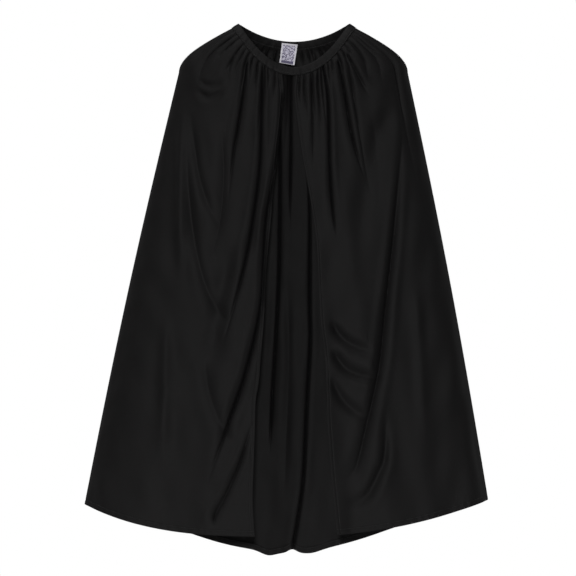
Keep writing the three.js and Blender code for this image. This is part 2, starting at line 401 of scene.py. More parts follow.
@dataclass(frozen=True)
class WovenLabel:
    """White satin label tape with a violet pattern of lozenges and a dark foot, inside a border."""

    name: str
    width: float
    length: float
    border: float = 2.2 * MM
    foot: float = 0.7 * MM
    white: Colour = (0.86, 0.84, 0.90, 1.0)
    lilac: Colour = (0.36, 0.32, 0.56, 1.0)
    violet: Colour = (0.022, 0.012, 0.085, 1.0)

    def build(self) -> bpy.types.Material:
        """Makes the material."""
        g = Graph(self.name)
        flat = g.coordinates(flat=True)
        parts = g.node("SeparateXYZ", {}, {"Vector": flat})
        across, along = g.flow(parts, "X"), g.flow(parts, "Y")
        inside = self._between(across, self.border, self.width - self.border)
        inside = inside * self._between(along, self.border, self.length - self.foot)
        spread = {"Vector": flat, "Scale": 235.0, "Randomness": 0.8}
        cells = g.node("TexVoronoi", {"distance": "MANHATTAN"}, spread)
        lozenge = g.math("SINE", g.flow(cells, "Distance") * 10.5) > -0.05
        blotch = g.noise(flat, 300.0, 2.0) > 0.45
        foot = self._between(along, self.length * 0.85, self.length - self.foot)
        rib = g.threads(flat, "Y", 0.32 * MM, 0.3)
        warp = g.threads(flat, "X", 0.22 * MM, 0.3)
        ground = g.mix(g.noise(flat, 420.0) * 0.75, self.white, self.lilac)
        ink = g.math("MAXIMUM", lozenge * blotch, foot) * (0.72 + rib * 0.28)
        printed = g.mix(ink, ground, self.violet)
        plain = g.mix(rib * 0.2 + g.noise(flat, 60.0) * 0.12, self.white, (0.6, 0.58, 0.66, 1.0))
        return g.finish(
            Base_Color=g.mix(inside, plain, printed),
            Roughness=0.5 + rib * 0.15,
            Normal=g.bump(rib * 0.7 + warp * 0.3, 0.35, 0.08 * MM),
            Specular_IOR_Level=0.35,
            Sheen_Weight=0.08,
        )

    @staticmethod
    def _between(value: Flow, low: float, high: float) -> Flow:
        """One where a value lies between two others."""
        return (value > low) * (1 - (value > high))


@dataclass(frozen=True)
class PaleFloor:
    """A plain pale studio floor."""

    name: str = "studio_floor"

    def build(self) -> bpy.types.Material:
        """Makes the material."""
        g = Graph(self.name)
        mottle = g.noise(g.coordinates(), 3.0, 4.0)
        colour = g.mix(mottle, (0.93, 0.93, 0.93, 1.0), (0.97, 0.97, 0.97, 1.0))
        return g.finish(Base_Color=colour, Roughness=0.85, Specular_IOR_Level=0.1)


# ---------------------------------------------------------------- meshes


@dataclass
class Solid:
    """A mesh being made: points, faces, and what each point or corner carries."""

    FLAT = "flat"
    WEAR = "wear"

    points: list = field(default_factory=list)
    faces: list = field(default_factory=list)
    flat: list = field(default_factory=list)
    wear: list = field(default_factory=list)

    def add(
        self, points: Grid, faces: Sequence[Sequence[int]], flat: Grid | None = None, wear: Grid | None = None
    ) -> None:
        """Adds points and the faces between them.

        Args:
            points: The points, one a row.
            faces: Faces as indices into these points.
            flat: Each point's place on the flat cloth.
            wear: How worn each point is.
        """
        start = len(self.points)
        self.points.extend(points.tolist())
        self.faces.extend([tuple(start + i for i in f) for f in faces])
        count = len(points)
        self.flat.extend((points[:, :2] if flat is None else flat).tolist())
        self.wear.extend((np.zeros(count) if wear is None else wear).tolist())

    def sweep(self, rings: Grid, wear: Grid | None = None) -> None:
        """Adds a closed skin over rings of points, with its ends filled.

        Args:
            rings: The points, by ring and then round the ring.
            wear: How worn each point is, in the same order.
        """
        count, n = rings.shape[:2]
        faces = []
        for i in range(count - 1):
            for j in range(n):
                a, b = i * n + j, i * n + (j + 1) % n
                faces.append((a, b, b + n, a + n))
        faces.append(tuple(reversed(range(n))))
        faces.append(tuple(range((count - 1) * n, count * n)))
        along, round_it = run_lengths(rings.mean(1)), run_lengths(rings[count // 2])
        flat = np.stack(np.broadcast_arrays(along[:, None], round_it[None, :]), -1)
        self.add(rings.reshape(-1, 3), faces, flat.reshape(-1, 2), None if wear is None else wear.ravel())

    def sheet(self, outer: Grid, inner: Grid, flat: Grid, wear: Grid) -> None:
        """Adds a thin closed sheet between two grids of points.

        Args:
            outer: The outer face's points, by row and then across.
            inner: The inner face's points, in the same order.
            flat: Each point's place on the flat cloth.
            wear: How worn each point is.
        """
        rows, columns = outer.shape[:2]
        index = np.arange(rows * columns).reshape(rows, columns)
        a, b, c, d = index[:-1, :-1], index[:-1, 1:], index[1:, 1:], index[1:, :-1]
        front = np.stack([a, d, c, b], -1).reshape(-1, 4)
        back = front[:, ::-1] + rows * columns
        loop = [*index[0, :-1], *index[:-1, -1], *index[-1, :0:-1], *index[:0:-1, 0]]
        rim = [(i, j, j + rows * columns, i + rows * columns) for i, j in zip(loop, loop[1:] + loop[:1])]
        faces = [*front.tolist(), *back.tolist(), *rim]
        points = np.concatenate([outer.reshape(-1, 3), inner.reshape(-1, 3)])
        self.add(points, faces, np.tile(flat.reshape(-1, 2), (2, 1)), np.tile(wear.ravel(), 2))

    def build(self, name: str, material: bpy.types.Material, crease: float = 50.0) -> bpy.types.Object:
        """Makes the object.

        Args:
            name: The object's name.
            material: Its finish.
            crease: Edges that turn by more than this many degrees stay sharp.

        Returns:
            The object, in the scene.
        """
        mesh = bpy.data.meshes.new(name)
        mesh.from_pydata(self.points, [], self.faces)
        mesh.validate()
        corners = np.zeros(len(mesh.loops), np.int32)
        mesh.loops.foreach_get("vertex_index", corners)
        layer = mesh.uv_layers.new(name=self.FLAT)
        layer.data.foreach_set("uv", np.array(self.flat, np.float32)[corners].ravel())
        wear = mesh.attributes.new(self.WEAR, "FLOAT", "POINT")
        wear.data.foreach_set("value", np.array(self.wear, np.float32))
        mesh.shade_smooth()
        mesh.set_sharp_from_angle(angle=math.radians(crease))
        mesh.materials.append(material)
        made = bpy.data.objects.new(name, mesh)
        bpy.context.scene.collection.objects.link(made)
        return made


@dataclass(frozen=True)
class Stitching:
    """A line of lockstitches, each one a short bulged length of thread that dips at both ends."""

    length: float = 2.7 * MM
    space: float = 0.7 * MM
    radius: float = 0.24 * MM
    sides: int = 6

    def sew(self, solid: Solid, line: Grid, normals: Grid) -> int:
        """Adds the stitches that lie along a line.

        Args:
            solid: The mesh that they are added to.
            line: The line's points.
            normals: The cloth's outward direction at each point.

        Returns:
            How many stitches there are.
        """
        lengths = run_lengths(line)
        pitch = self.length + self.space
        count = int(lengths[-1] / pitch)
        shares = np.array([0.0, 0.12, 0.5, 0.88, 1.0])
        lifts = np.array([-0.6, 0.45, 0.8, 0.45, -0.6]) * self.radius
        girths = np.array([0.5, 0.95, 1.0, 0.95, 0.5]) * self.radius
        turns = np.linspace(0, 2 * math.pi, self.sides, endpoint=False)
        for i in range(count):
            at = i * pitch + 0.5 * self.space + shares * self.length
            centre = along_line(line, lengths, at)
            out = unit(along_line(normals, lengths, at))
            side = unit(np.cross(out, np.gradient(centre, axis=0)))
            centre = centre + out * lifts[:, None]
            ring = side[:, None] * np.cos(turns)[None, :, None] + out[:, None] * np.sin(turns)[None, :, None]
            solid.sweep(centre[:, None] + ring * girths[:, None, None])
        return count


# ---------------------------------------------------------------- the hanging shape


@dataclass
class NeckLine:
    """The neckband's run round the neck. Angles are 0 at a neck point, -90 in front, 90 behind."""

    half_width: float = 72 * MM
    half_depth: float = 30 * MM
    height: float = 11 * MM
    clearance: float = 0.3 * MM
    middle: float = 0.8 * MM
    rise: float = 6.4 * MM
    front_drop: float = 57 * MM
    back_drop: float = 22 * MM
    lean_side: float = math.radians(58)
    lean_centre: float = math.radians(14)
    lap_depth: float = 4.5 * MM
    lap_start: float = 40 * MM
    lap_run: float = 24 * MM

    def at(self, angle: Grid, hand: Hand) -> tuple[Grid, Grid, Grid]:
        """The band at some angles.

        Args:
            angle: Angles from the neck point of this hand.
            hand: The side of the wearer.

        Returns:
            The upper edge's points, the direction down the band's face, and the direction out of it.
        """
        c, s = np.cos(angle), np.sin(angle)
        depth = np.full_like(c, self.half_depth)
        if hand is Hand.RIGHT:
            step = smooth((self.lap_start - self.half_width * c) / self.lap_run)
            depth = depth - np.where(s < 0, self.lap_depth * step, 0)
        drop = np.where(s < 0, self.front_drop, self.back_drop)
        edge = np.stack([self.half_width * c, depth * s, self.rise - drop * s * s], -1)
        along = unit(np.stack([-self.half_width * s, depth * c, -2 * drop * s * c], -1))
        outward = unit(np.stack([c / self.half_width, s / depth, np.zeros_like(c)], -1))
        lean = blend_values(self.lean_centre, self.lean_side, c**4)[..., None]
        fall = np.array([0.0, 0.0, -1.0]) * np.cos(lean) + outward * np.sin(lean)
        fall = unit(fall - along * np.sum(fall * along, -1, keepdims=True))
        normal = unit(np.cross(fall, along))
        mirror = np.array([float(hand), 1.0, 1.0])
        return edge * mirror, fall * mirror, normal * mirror


@dataclass
class HangingShape:
    """The smooth surface that the cloth hangs on, as the frame has it."""

    neck: NeckLine
    shoulder_half_width: float = 151 * MM
    shoulder_drop: float = 57 * MM
    corner_drop: float = 622 * MM
    right_sag: float = 6 * MM
    side_bow: float = 4 * MM
    front_curves: tuple[float, float] = (2.2, 3.1)
    back_curve: float = 1.5
    back_centre: float = 694.5 * MM
    back_tuck: float = 6 * MM
    lobes: tuple[tuple[float, float, float], ...] = (
        (-24 * MM, 13 * MM, 5 * MM), (8 * MM, 8 * MM, -5 * MM), (34 * MM, 16 * MM, 3 * MM))
    front_depth: tuple[float, float] = (33 * MM, 60 * MM)
    back_depth: tuple[float, float] = (33 * MM, 66 * MM)
    depth_ease: float = 0.4
    settle: float = 105 * MM
    sway: float = -9.5 * MM

    def __post_init__(self) -> None:
        """Reads the hem from the frame, and finds the neck point."""
        low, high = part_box("back_panel")
        self.hem_half_width = high.x
        self.back_hem = -low.z
        self.front_hem = -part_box("left_front_panel")[0].z
        self.neck_point = self.seam(np.zeros(1), Hand.LEFT)[0][0]
        turn = math.pi / 2
        self.seam_z = {side: self.seam(np.array([side * turn]), Hand.LEFT)[0][0, 2] for side in (-1, 1)}

    def seam(self, angle: Grid, hand: Hand) -> tuple[Grid, Grid, Grid]:
        """Where the cloth meets the band: its points, the way down, and the way out."""
        edge, fall, normal = self.neck.at(angle, hand)
        down = self.neck.height + self.neck.clearance
        return edge + fall * down + normal * self.neck.middle, fall, normal

    def half_width(self, z: Grid) -> Grid:
        """Half the cape's width at some heights."""
        top = self.neck_point
        share = np.clip((top[2] - z) / (top[2] + self.shoulder_drop), 0, 1)
        above = blend_values(top[0], self.shoulder_half_width, np.sin(share * math.pi / 2))
        t = (-z - self.shoulder_drop) / (self.corner_drop - self.shoulder_drop)
        below = blend_values(self.shoulder_half_width, self.hem_half_width, t)
        below = below + self.side_bow * np.sin(np.clip(t, 0, 1) * math.pi)
        return np.where(z > -self.shoulder_drop, above, below)

    def half_depth(self, z: Grid, side: int) -> Grid:
        """Half the depth in front (side -1) or behind (side 1), at some heights."""
        top, hem = self.front_depth if side < 0 else self.back_depth
        seam_z = self.seam_z[side]
        share = np.clip((self.neck_point[2] - z) / (self.neck_point[2] - seam_z), 0, 1)
        below = blend_values(top, hem, (seam_z - z) / (seam_z + self.back_hem))
        return np.where(z > seam_z, top * share**self.depth_ease, below)

    def depth(self, x: Grid, z: Grid, side: int) -> Grid:
        """How far behind the plane of the two sides the surface is."""
        share = np.clip(x / self.half_width(z), -1, 1)
        return side * self.half_depth(z, side) * np.sqrt(1 - share * share)

    def corner(self, hand: Hand) -> float:
        """How far down a hem corner is."""
        return self.corner_drop + (self.right_sag if hand is Hand.RIGHT else 0.0)

    def reach(self, hand: Hand) -> float:
        """How far out a hem corner is."""
        return float(self.half_width(np.array(-self.corner(hand))))

    def hem_z(self, x: Grid, side: int) -> Grid:
        """The hem's height at some distances from the centre."""
        reach = np.where(x > 0, self.reach(Hand.LEFT), self.reach(Hand.RIGHT))
        corner = np.where(x > 0, self.corner(Hand.LEFT), self.corner(Hand.RIGHT))
        share = np.clip(np.abs(x) / reach, 0, 1)
        if side < 0:
            curve = np.where(x > 0, self.front_curves[0], self.front_curves[1])
            return -blend_values(self.front_hem, corner, share**curve)
        drop = blend_values(self.back_centre, corner, share**self.back_curve)
        drop = drop - self.back_tuck * np.exp(-(((share - 0.6) / 0.22) ** 2))
        for centre, width, depth in self.lobes:
            drop = drop + depth * np.exp(-(((x - centre) / width) ** 2))
        return -drop

    def lean(self, points: Grid) -> Grid:
        """Sways points to one side, further the lower they are."""
        moved = points.copy()
        moved[..., 0] += self.sway * np.clip(-points[..., 2] / self.corner_drop, 0, 1.1)
        return moved


# ---------------------------------------------------------------- folds


@dataclass(frozen=True)
class Fold:
    """A crease in the cloth, seen from the front: a valley, steep on one side and gentle on the other.

    A negative depth is a ridge. The widths are at its start and its end, and the fades are the
    shares of its length in which it starts and dies away. The steep side is the viewer's right
    where lean is 1 and the viewer's left where it is -1. A fold with no sharpness is round, and the
    slit is the share of a sharp one's depth that is in its narrow bottom.
    """

    path: Path2D
    depth: float
    widths: tuple[float, float] = (3.0, 5.0)
    fades: tuple[float, float] = (0.08, 0.4)
    lean: int = 1
    sharp: float = 1.0
    slit: float = 0.62
    lip: float = 0.16

    STEEP = 0.7
    GENTLE = 2.1
    NARROW = 0.26
    STEPS = 26
    REACH = 7

    def press(self, x: Grid, z: Grid) -> Grid:
        """How far the fold moves the cloth outwards.

        Args:
            x: The cloth's distances from the centre, in metres.
            z: Its heights, in metres.

        Returns:
            The outward move at each place, in metres.
        """
        line = spline(self.path, self.STEPS) * MM
        reach = self.REACH * max(self.widths) * MM
        low, high = line.min(0) - reach, line.max(0) + reach
        near = (x > low[0]) & (x < high[0]) & (z > low[1]) & (z < high[1])
        out = np.zeros_like(x)
        if not near.any():
            return out
        away, share = self._nearest(np.stack([x[near], z[near]], -1), line)
        d = away / (blend_values(*self.widths, share) * MM)
        alive = smooth(share / self.fades[0]) if self.fades[0] else 1.0
        if self.fades[1]:
            alive = alive * smooth((1 - share) / self.fades[1])
        out[near] = self.depth * MM * self._profile(d) * alive
        return out

    def _profile(self, d: Grid) -> Grid:
        """The fold's section, by distance from its line in widths."""
        slope = np.where(d * self.lean > 0, self.STEEP, self.GENTLE)
        away = np.sqrt(d * d + 0.004) - 0.06
        valley = -self.slit * np.exp(-away / self.NARROW) - (1 - self.slit) * np.exp(-away / slope)
        round_one = -np.exp(-(d**2))
        lip = self.lip * np.exp(-(((np.abs(d) - 2.3) / 1.2) ** 2))
        return blend_values(round_one, valley, self.sharp) + lip

    @staticmethod
    def _nearest(place: Grid, line: Grid) -> tuple[Grid, Grid]:
        """The signed distance from places to a line, and the share of the line nearest to each."""
        best = np.full(len(place), np.inf)
        share = np.zeros(len(place))
        steps = len(line) - 1
        for i in range(steps):
            run = line[i + 1] - line[i]
            off = place - line[i]
            t = np.clip((off @ run) / max(run @ run, 1e-12), 0, 1)
            gap = np.linalg.norm(off - t[:, None] * run, axis=1)
            gap = np.where(run[0] * off[:, 1] - run[1] * off[:, 0] < 0, -gap, gap)
            closer = np.abs(gap) < np.abs(best)
            best = np.where(closer, gap, best)
            share = np.where(closer, (i + t) / steps, share)
        return best, share


Folds = tuple[Fold, ...]


@dataclass(frozen=True)
class Gathers:
    """Small pleats where the cloth is drawn into the band. Each runs on for its own length."""

    seed: int
    pitch: float = 8.2 * MM
    depth: tuple[float, float] = (2.8 * MM, 4.8 * MM)
    width: tuple[float, float] = (0.8 * MM, 1.35 * MM)
    start: float = 9 * MM
    longest: float = 230 * MM
    puff: float = 1.6 * MM

    def press(self, arc: Grid, drop: Grid) -> Grid:
        """How far the pleats move the cloth outwards.

        Args:
            arc: Each place's distance along the band, by row and column.
            drop: Each place's distance below the band.

        Returns:
            The outward move at each place.
        """
        rng = np.random.default_rng(self.seed)
        total = arc.max()
        count = max(3, round(total / self.pitch))
        out = np.zeros_like(drop)
        rise = 0.45 + 0.55 * smooth(drop / self.start)
        for i in range(count):
            centre = (i + 0.5 + rng.uniform(-0.26, 0.26)) * total / count
            depth = rng.uniform(*self.depth)
            width = rng.uniform(*self.width)
            kind = rng.random()
            share = 0.2 if kind < 0.5 else 0.45 if kind < 0.82 else 1.0
            length = rng.uniform(0.5, 1.0) * share * self.longest
            drift = rng.uniform(-2.0, 2.0) * MM * smooth(drop / length)
            d = (arc - centre - drift) / (width * (1 + 0.5 * drop / length))
            alive = rise * smooth(1.15 - drop / length)
            crease = 0.55 * np.exp(-np.abs(d) / 0.5) + 0.45 * np.exp(-(d**2) / 3)
            out -= depth * (0.85 + 0.5 * length / self.longest) * crease * alive
        puff = self.puff * smooth(drop / self.start) * np.exp(-drop / (4 * self.start))
        return out + puff


@dataclass(frozen=True)
class Billows:
    """Broad soft folds that follow the fall of the cloth and grow towards the hem."""

    seed: int
    size: float
    waves: tuple[float, float]
    held: tuple[float, float] = (0.1, 0.1)

    def press(self, across: Grid, down: Grid) -> Grid:
        """How far the folds move the cloth outwards.

        Args:
            across: Each place's share of the way across the span.
            down: Its share of the way down.

        Returns:
            The outward move at each place.
        """
        rng = np.random.default_rng(self.seed)
        q = across
        out = np.zeros_like(down)
        for _ in range(5):
            waves = rng.uniform(*self.waves)
            phase = rng.uniform(0, 1)
            bend = rng.uniform(-0.05, 0.05)
            grow = rng.uniform(0.9, 1.9)
            ridge = np.cos(2 * math.pi * (waves * (q + bend * down) + phase))
            out += rng.uniform(0.5, 1.0) * (ridge + 0.22 * ridge * ridge) * down**grow
        window = smooth(q / self.held[0]) if self.held[0] else 1.0
        if self.held[1]:
            window = window * smooth((1 - q) / self.held[1])
        return self.size * out * window / 2.4


def relax(grid: Grid) -> Grid:
    """Eases each place a little towards those beside it, so that slanting creases run smoothly."""
    for axis in (0, 1):
        lines = np.moveaxis(grid, axis, 0)
        eased = lines.copy()
        eased[1:-1] = 0.25 * lines[:-2] + 0.5 * lines[1:-1] + 0.25 * lines[2:]
        grid = np.moveaxis(eased, 0, axis)
    return grid


def crumple(points: Grid, seed: int, size: float) -> Grid:
    """Small uneven swells all over the cloth.

    Args:
        points: The cloth's points.
        seed: What the swells are drawn from.
        size: How high they are.

    Returns:
        The outward move at each point.
    """
    rng = np.random.default_rng(seed)
    out = np.zeros(points.shape[:-1])
    for _ in range(14):
        wave = rng.normal(size=3) * np.array([1.2, 1.2, 0.55])
        wave *= 2 * math.pi / rng.uniform(22 * MM, 75 * MM) / np.linalg.norm(wave)
        out += np.sin(points @ wave + rng.uniform(0, 2 * math.pi))
    return size * out / 3.0


# ---------------------------------------------------------------- cloth


@dataclass(frozen=True)
class TurnedEdge:
    """A hem turned to the inside and sewn down."""

    width: float
    stitch: float
    cloth: float = 0.8 * MM
    turned: float = 1.7 * MM
    groove: float = 0.4 * MM
    rows: tuple[float, ...] = (0.0, 0.35, 0.9, 2.2, 3.8)

    def distances(self) -> Grid:
        """Distances from the edge at which the mesh has a row, out to the plain cloth."""
        s = self.stitch
        near = [d * MM for d in self.rows if d * MM < s - 0.8 * MM]
        return np.array([*near, s - 0.7 * MM, s, s + 0.7 * MM, self.width + 0.5 * MM, self.width + 1.3 * MM])

    def sink(self, away: Grid) -> Grid:
        """How far the outer face sinks at some distances from the edge: its rounding and its groove."""
        rounding = 0.5 * MM * np.exp(-away / (0.35 * MM))
        return rounding + self.groove * np.exp(-(((away - self.stitch) / (0.6 * MM)) ** 2))

    def thickness(self, away: Grid) -> Grid:
        """The cloth's thickness at some distances from the edge."""
        plain = smooth((away - self.width) / (0.9 * MM))
        return blend_values(self.turned, self.cloth, plain)


@dataclass
class Layout:
    """A span's rows and columns: shares across and down, and distances from its edge and hem."""

    across: Grid
    down: Grid
    from_edge: Grid
    from_hem: Grid
    arc: Grid
    drop: Grid

    def with_rows_above(self, count: int) -> "Layout":
        """The same layout with its first row repeated above it."""
        grids = {name: np.concatenate([grid[:1]] * count + [grid]) for name, grid in vars(self).items()}
        return Layout(**grids)


@dataclass
class ClothSpan:
    """A span of the cape's cloth, gathered at the band and hemmed below.

    Columns run from its first edge to its last, and rows from the band to the hem.
    """

    name: str
    shape: HangingShape
    folds: Folds
    gathers: Gathers
    billows: Billows
    hem: TurnedEdge
    seed: int
    columns: int
    rows: int = 290
    hand: Hand = Hand.LEFT
    side: int = -1
    swell: float = 0.5 * MM
    tuck: tuple[float, ...] = (4.5 * MM, 2.5 * MM, 1.0 * MM)
    tuck_fold: tuple[float, ...] = (0.0, 0.1, 0.4)
    samples: int = 500

    SHIFT_FADE = 2.2
    STITCH_LIFT = 0.1 * MM
    ROW_CROWDING = 1.18
    SWELL_START = 40 * MM
    RIPPLE = (0.22 * MM, 1.9 * MM)
    WORN_HEM = (0.4, 1.5 * MM)
    WORN_EDGE = (0.1, 1.2 * MM)
    WORN_RIDGE = (0.2, 0.4 * MM)

    def __post_init__(self) -> None:
        """Works out the two curves that the columns run between."""
        seam, seam_angle = self._seam_curve()
        hem, hem_angle = self._hem_curve()
        self.share = np.linspace(0, 1, self.samples)
        self.seam, (self.seam_phi, self.theta) = self._even(seam, seam_angle)
        self.hem_line, (self.hem_phi,) = self._even(hem, hem_angle)
        self.seam_length = float(run_lengths(self.seam)[-1])
        self.hem_length = float(run_lengths(self.hem_line)[-1])

    def _ends(self) -> tuple[float, float]:
        """The band's angles at the span's first and last column."""
        return 0.0, math.pi

    def _hem_xs(self) -> Grid:
        """The hem's X from the first column to the last."""
        x = np.cos(np.linspace(0, math.pi, 3 * self.samples))
        return x * np.where(x > 0, self.shape.reach(Hand.LEFT), self.shape.reach(Hand.RIGHT))

    def _seam_curve(self) -> tuple[Grid, list[Grid]]:
        """The seam's points, and for each the angle round the cape and round the band."""
        theta = np.linspace(*self._ends(), 3 * self.samples)
        points = self.shape.seam(theta, self.hand)[0] * np.array([float(self.hand), 1.0, 1.0])
        phi = np.arccos(np.clip(points[:, 0] / self.shape.half_width(points[:, 2]), -1, 1))
        return points, [phi, theta]

    def _hem_curve(self) -> tuple[Grid, list[Grid]]:
        """The hem's points, and for each the angle round the cape."""
        x = self._hem_xs()
        z = self.shape.hem_z(x * float(self.hand), self.side)
        phi = np.arccos(np.clip(x / self.shape.half_width(z), -1, 1))
        y = self.side * self.shape.half_depth(z, self.side) * np.sin(phi)
        return np.stack([x, y, z], 1), [phi]

    def _even(self, points: Grid, values: list[Grid]) -> tuple[Grid, list[Grid]]:
        """Spreads a curve's points, and values on them, evenly by length."""
        lengths = run_lengths(points)
        at = self.share * lengths[-1]
        return along_line(points, lengths, at), [np.interp(at, lengths, v) for v in values]

    def _shift(self, down: Grid) -> Grid:
        """How far the first column's angle is from straight, at some shares down."""
        return np.zeros_like(down)

    def place(self, across: Grid, down: Grid) -> Grid:
        """The smooth hanging surface.

        Args:
            across: Shares of the way across.
            down: Shares of the way down.

        Returns:
            The points there, on the wearer's left for a front of either hand.
        """
        shape, side = self.shape, self.side
        top = along_line(self.seam, self.share, across)
        hem = along_line(self.hem_line, self.share, across)
        phi_top, phi_hem = (np.interp(across, self.share, phi) for phi in (self.seam_phi, self.hem_phi))
        phi = blend_values(phi_top, phi_hem, down) + self._shift(down) * (1 - across) ** self.SHIFT_FADE
        z = blend_values(top[..., 2], hem[..., 2], down)
        x = shape.half_width(z) * np.cos(phi)
        y = side * shape.half_depth(z, side) * np.sin(phi)
        y_top = side * shape.half_depth(top[..., 2], side) * np.sin(phi_top)
        fallen = np.hypot(x - top[..., 0], z - top[..., 2])
        y = y + (top[..., 1] - y_top) * (1 - smooth(fallen / shape.settle))
        return np.stack([x, y, z], -1)

    def _density(self, q: Grid) -> Grid:
        """How close together the columns are: closer at the side lines and behind the front's gap."""
        return 1 + 1.7 * np.exp(-(((q - 0.5) / 0.13) ** 2)) + 0.8 * np.exp(-np.minimum(q, 1 - q) / 0.03)

    def _column_shares(self, count: int) -> Grid:
        """Shares across for the plain columns."""
        q = np.linspace(0, 1, 2000)
        total = np.cumsum(self._density(q))
        return np.interp(np.linspace(total[0], total[-1], count), total, q)

    def layout(self) -> Layout:
        """Lays out the rows and columns, some of them at set distances from the edge and the hem."""
        coarse = np.linspace(0, 1, 90)
        grid = self.place(*np.meshgrid(coarse, coarse))
        fall = np.linalg.norm(np.diff(grid, axis=0), axis=2).sum(0)
        width = np.linalg.norm(np.diff(grid, axis=1), axis=2).sum(1)
        turned = self.hem.distances()[::-1]
        eased = np.linspace(0, 1, self.rows) ** self.ROW_CROWDING
        shares = self._column_shares(self.columns)
        edge = self._edge_distances()
        full = np.concatenate([np.zeros(len(edge)), shares])
        height = np.interp(full, coarse, fall)
        body = eased[:, None] * (1 - turned[0] / height)[None, :]
        down = np.concatenate([body[:-1], 1 - turned[:, None] / height[None, :]])
        across_length = np.interp(down[:, -1], coarse, width)[:, None]
        first = edge[-1] / across_length if len(edge) else 0 * across_length
        across = np.broadcast_to(first + (1 - first) * shares, (len(down), len(shares)))
        if len(edge):
            across = np.concatenate([edge[None, :-1] / across_length, across], 1)
            down = down[:, 1:]
            height = height[1:]
        return Layout(
            across=across,
            down=down,
            from_edge=across * across_length if len(edge) else np.full_like(across, 1.0),
            from_hem=(1 - down) * height,
            arc=across * self.seam_length,
            drop=down * height,
        )

    def _edge_distances(self) -> Grid:
        """Distances from the first edge at which the mesh has a column."""
        return np.zeros(0)

    def _calm(self, across: Grid) -> Grid:
        """Nought on the side lines, where two spans meet, and one away from them."""
        return smooth(across / 0.05) * smooth((1 - across) / 0.05)

    def build(self, material: bpy.types.Material) -> bpy.types.Object:
        """Makes the span, and keeps its outer and inner faces for the stitches.

        Args:
            material: The cloth.

        Returns:
            The cloth's object.
        """
        base, lay = self._tucked(self.layout())
        normal = unit(np.cross(np.gradient(base, axis=0), np.gradient(base, axis=1))) * float(self.hand)
        swayed = self.shape.lean(base)
        out = self._folded(base, swayed, lay)
        sink, thick = self._edges(lay)
        outer = swayed + normal * (out - sink + 0.5 * self.hem.cloth)[..., None]
        inner = swayed + normal * (out + 0.5 * self.hem.cloth - thick)[..., None]
        flat = np.stack([lay.across * self.hem_length, lay.drop], -1)
        self.outer, self.inner, self.normal, self.lay = outer, inner, normal, lay
        order = slice(None, None, int(self.hand))
        solid = Solid()
        solid.sheet(outer[:, order], inner[:, order], flat[:, order], self._worn(out, lay)[:, order])
        made = solid.build(self.name, material)
        log.info("%s: %d points", self.name, len(made.data.vertices))
        return made

    def _tucked(self, lay: Layout) -> tuple[Grid, Layout]:
        """The smooth surface's points, with the rows added that are tucked inside the band."""
        theta = np.interp(lay.across[0], self.share, self.theta)
        seam, fall, _ = self.shape.seam(theta, self.hand)
        mirror = np.array([float(self.hand), 1.0, 1.0])
        head = np.stack([(seam - fall * d) * mirror for d in self.tuck])
        base = np.concatenate([head, self.place(lay.across, lay.down)]) * mirror
        return base, lay.with_rows_above(len(self.tuck))

    def _folded(self, base: Grid, swayed: Grid, lay: Layout) -> Grid:
        """How far outwards everything moves the cloth.

        Args:
            base: The smooth surface's points.
            swayed: The same points, swayed to one side.
            lay: The rows and columns.

        Returns:
            The outward move at each point.
        """
        out = relax(sum(fold.press(swayed[..., 0], swayed[..., 2]) for fold in self.folds))
        out = out + self.billows.press(lay.across, lay.down)
        out = out + crumple(base, self.seed, self.swell) * smooth(lay.drop / self.SWELL_START)
        high, pitch = self.RIPPLE
        ripple = np.sin(lay.across * self.hem_length / pitch + 2 * np.sin(lay.across * 23))
        out = out + high * ripple * np.exp(-((lay.from_hem / self.hem.width - 0.6) ** 2) * 4)
        out = out * self._calm(lay.across) + self.gathers.press(lay.arc, lay.drop) * self._calm(lay.across)
        out[: len(self.tuck)] *= np.array(self.tuck_fold)[:, None]
        return out

    def _worn(self, out: Grid, lay: Layout) -> Grid:
        """How worn each point is: at the hem, at the edge and on the folds' ridges."""
        (hem, hem_run), (edge, edge_run), (ridge, rise) = self.WORN_HEM, self.WORN_EDGE, self.WORN_RIDGE
        worn = hem * np.exp(-lay.from_hem / hem_run) + edge * np.exp(-lay.from_edge / edge_run)
        return np.clip(worn + ridge * smooth(np.gradient(out, axis=1) / rise), 0, 1)

    def _edges(self, lay: Layout) -> tuple[Grid, Grid]:
        """How far the outer face sinks, and how thick the cloth is."""
        return self.hem.sink(lay.from_hem), self.hem.thickness(lay.from_hem)

    def hem_stitches(self, stitching: Stitching, material: bpy.types.Material) -> bpy.types.Object:
        """Sews the hem, on both faces."""
        row = int(np.argmin(np.abs(self.lay.from_hem[:, self.columns // 2] - self.hem.stitch)))
        solid = Solid()
        for face, sign in ((self.outer, 1), (self.inner, -1)):
            normal = self.normal[row] * sign
            count = stitching.sew(solid, face[row] + normal * self.STITCH_LIFT, normal)
        log.info("%s hem: %d stitches a face", self.name, count)
        return solid.build(f"{self.name}_hem_stitches", material)


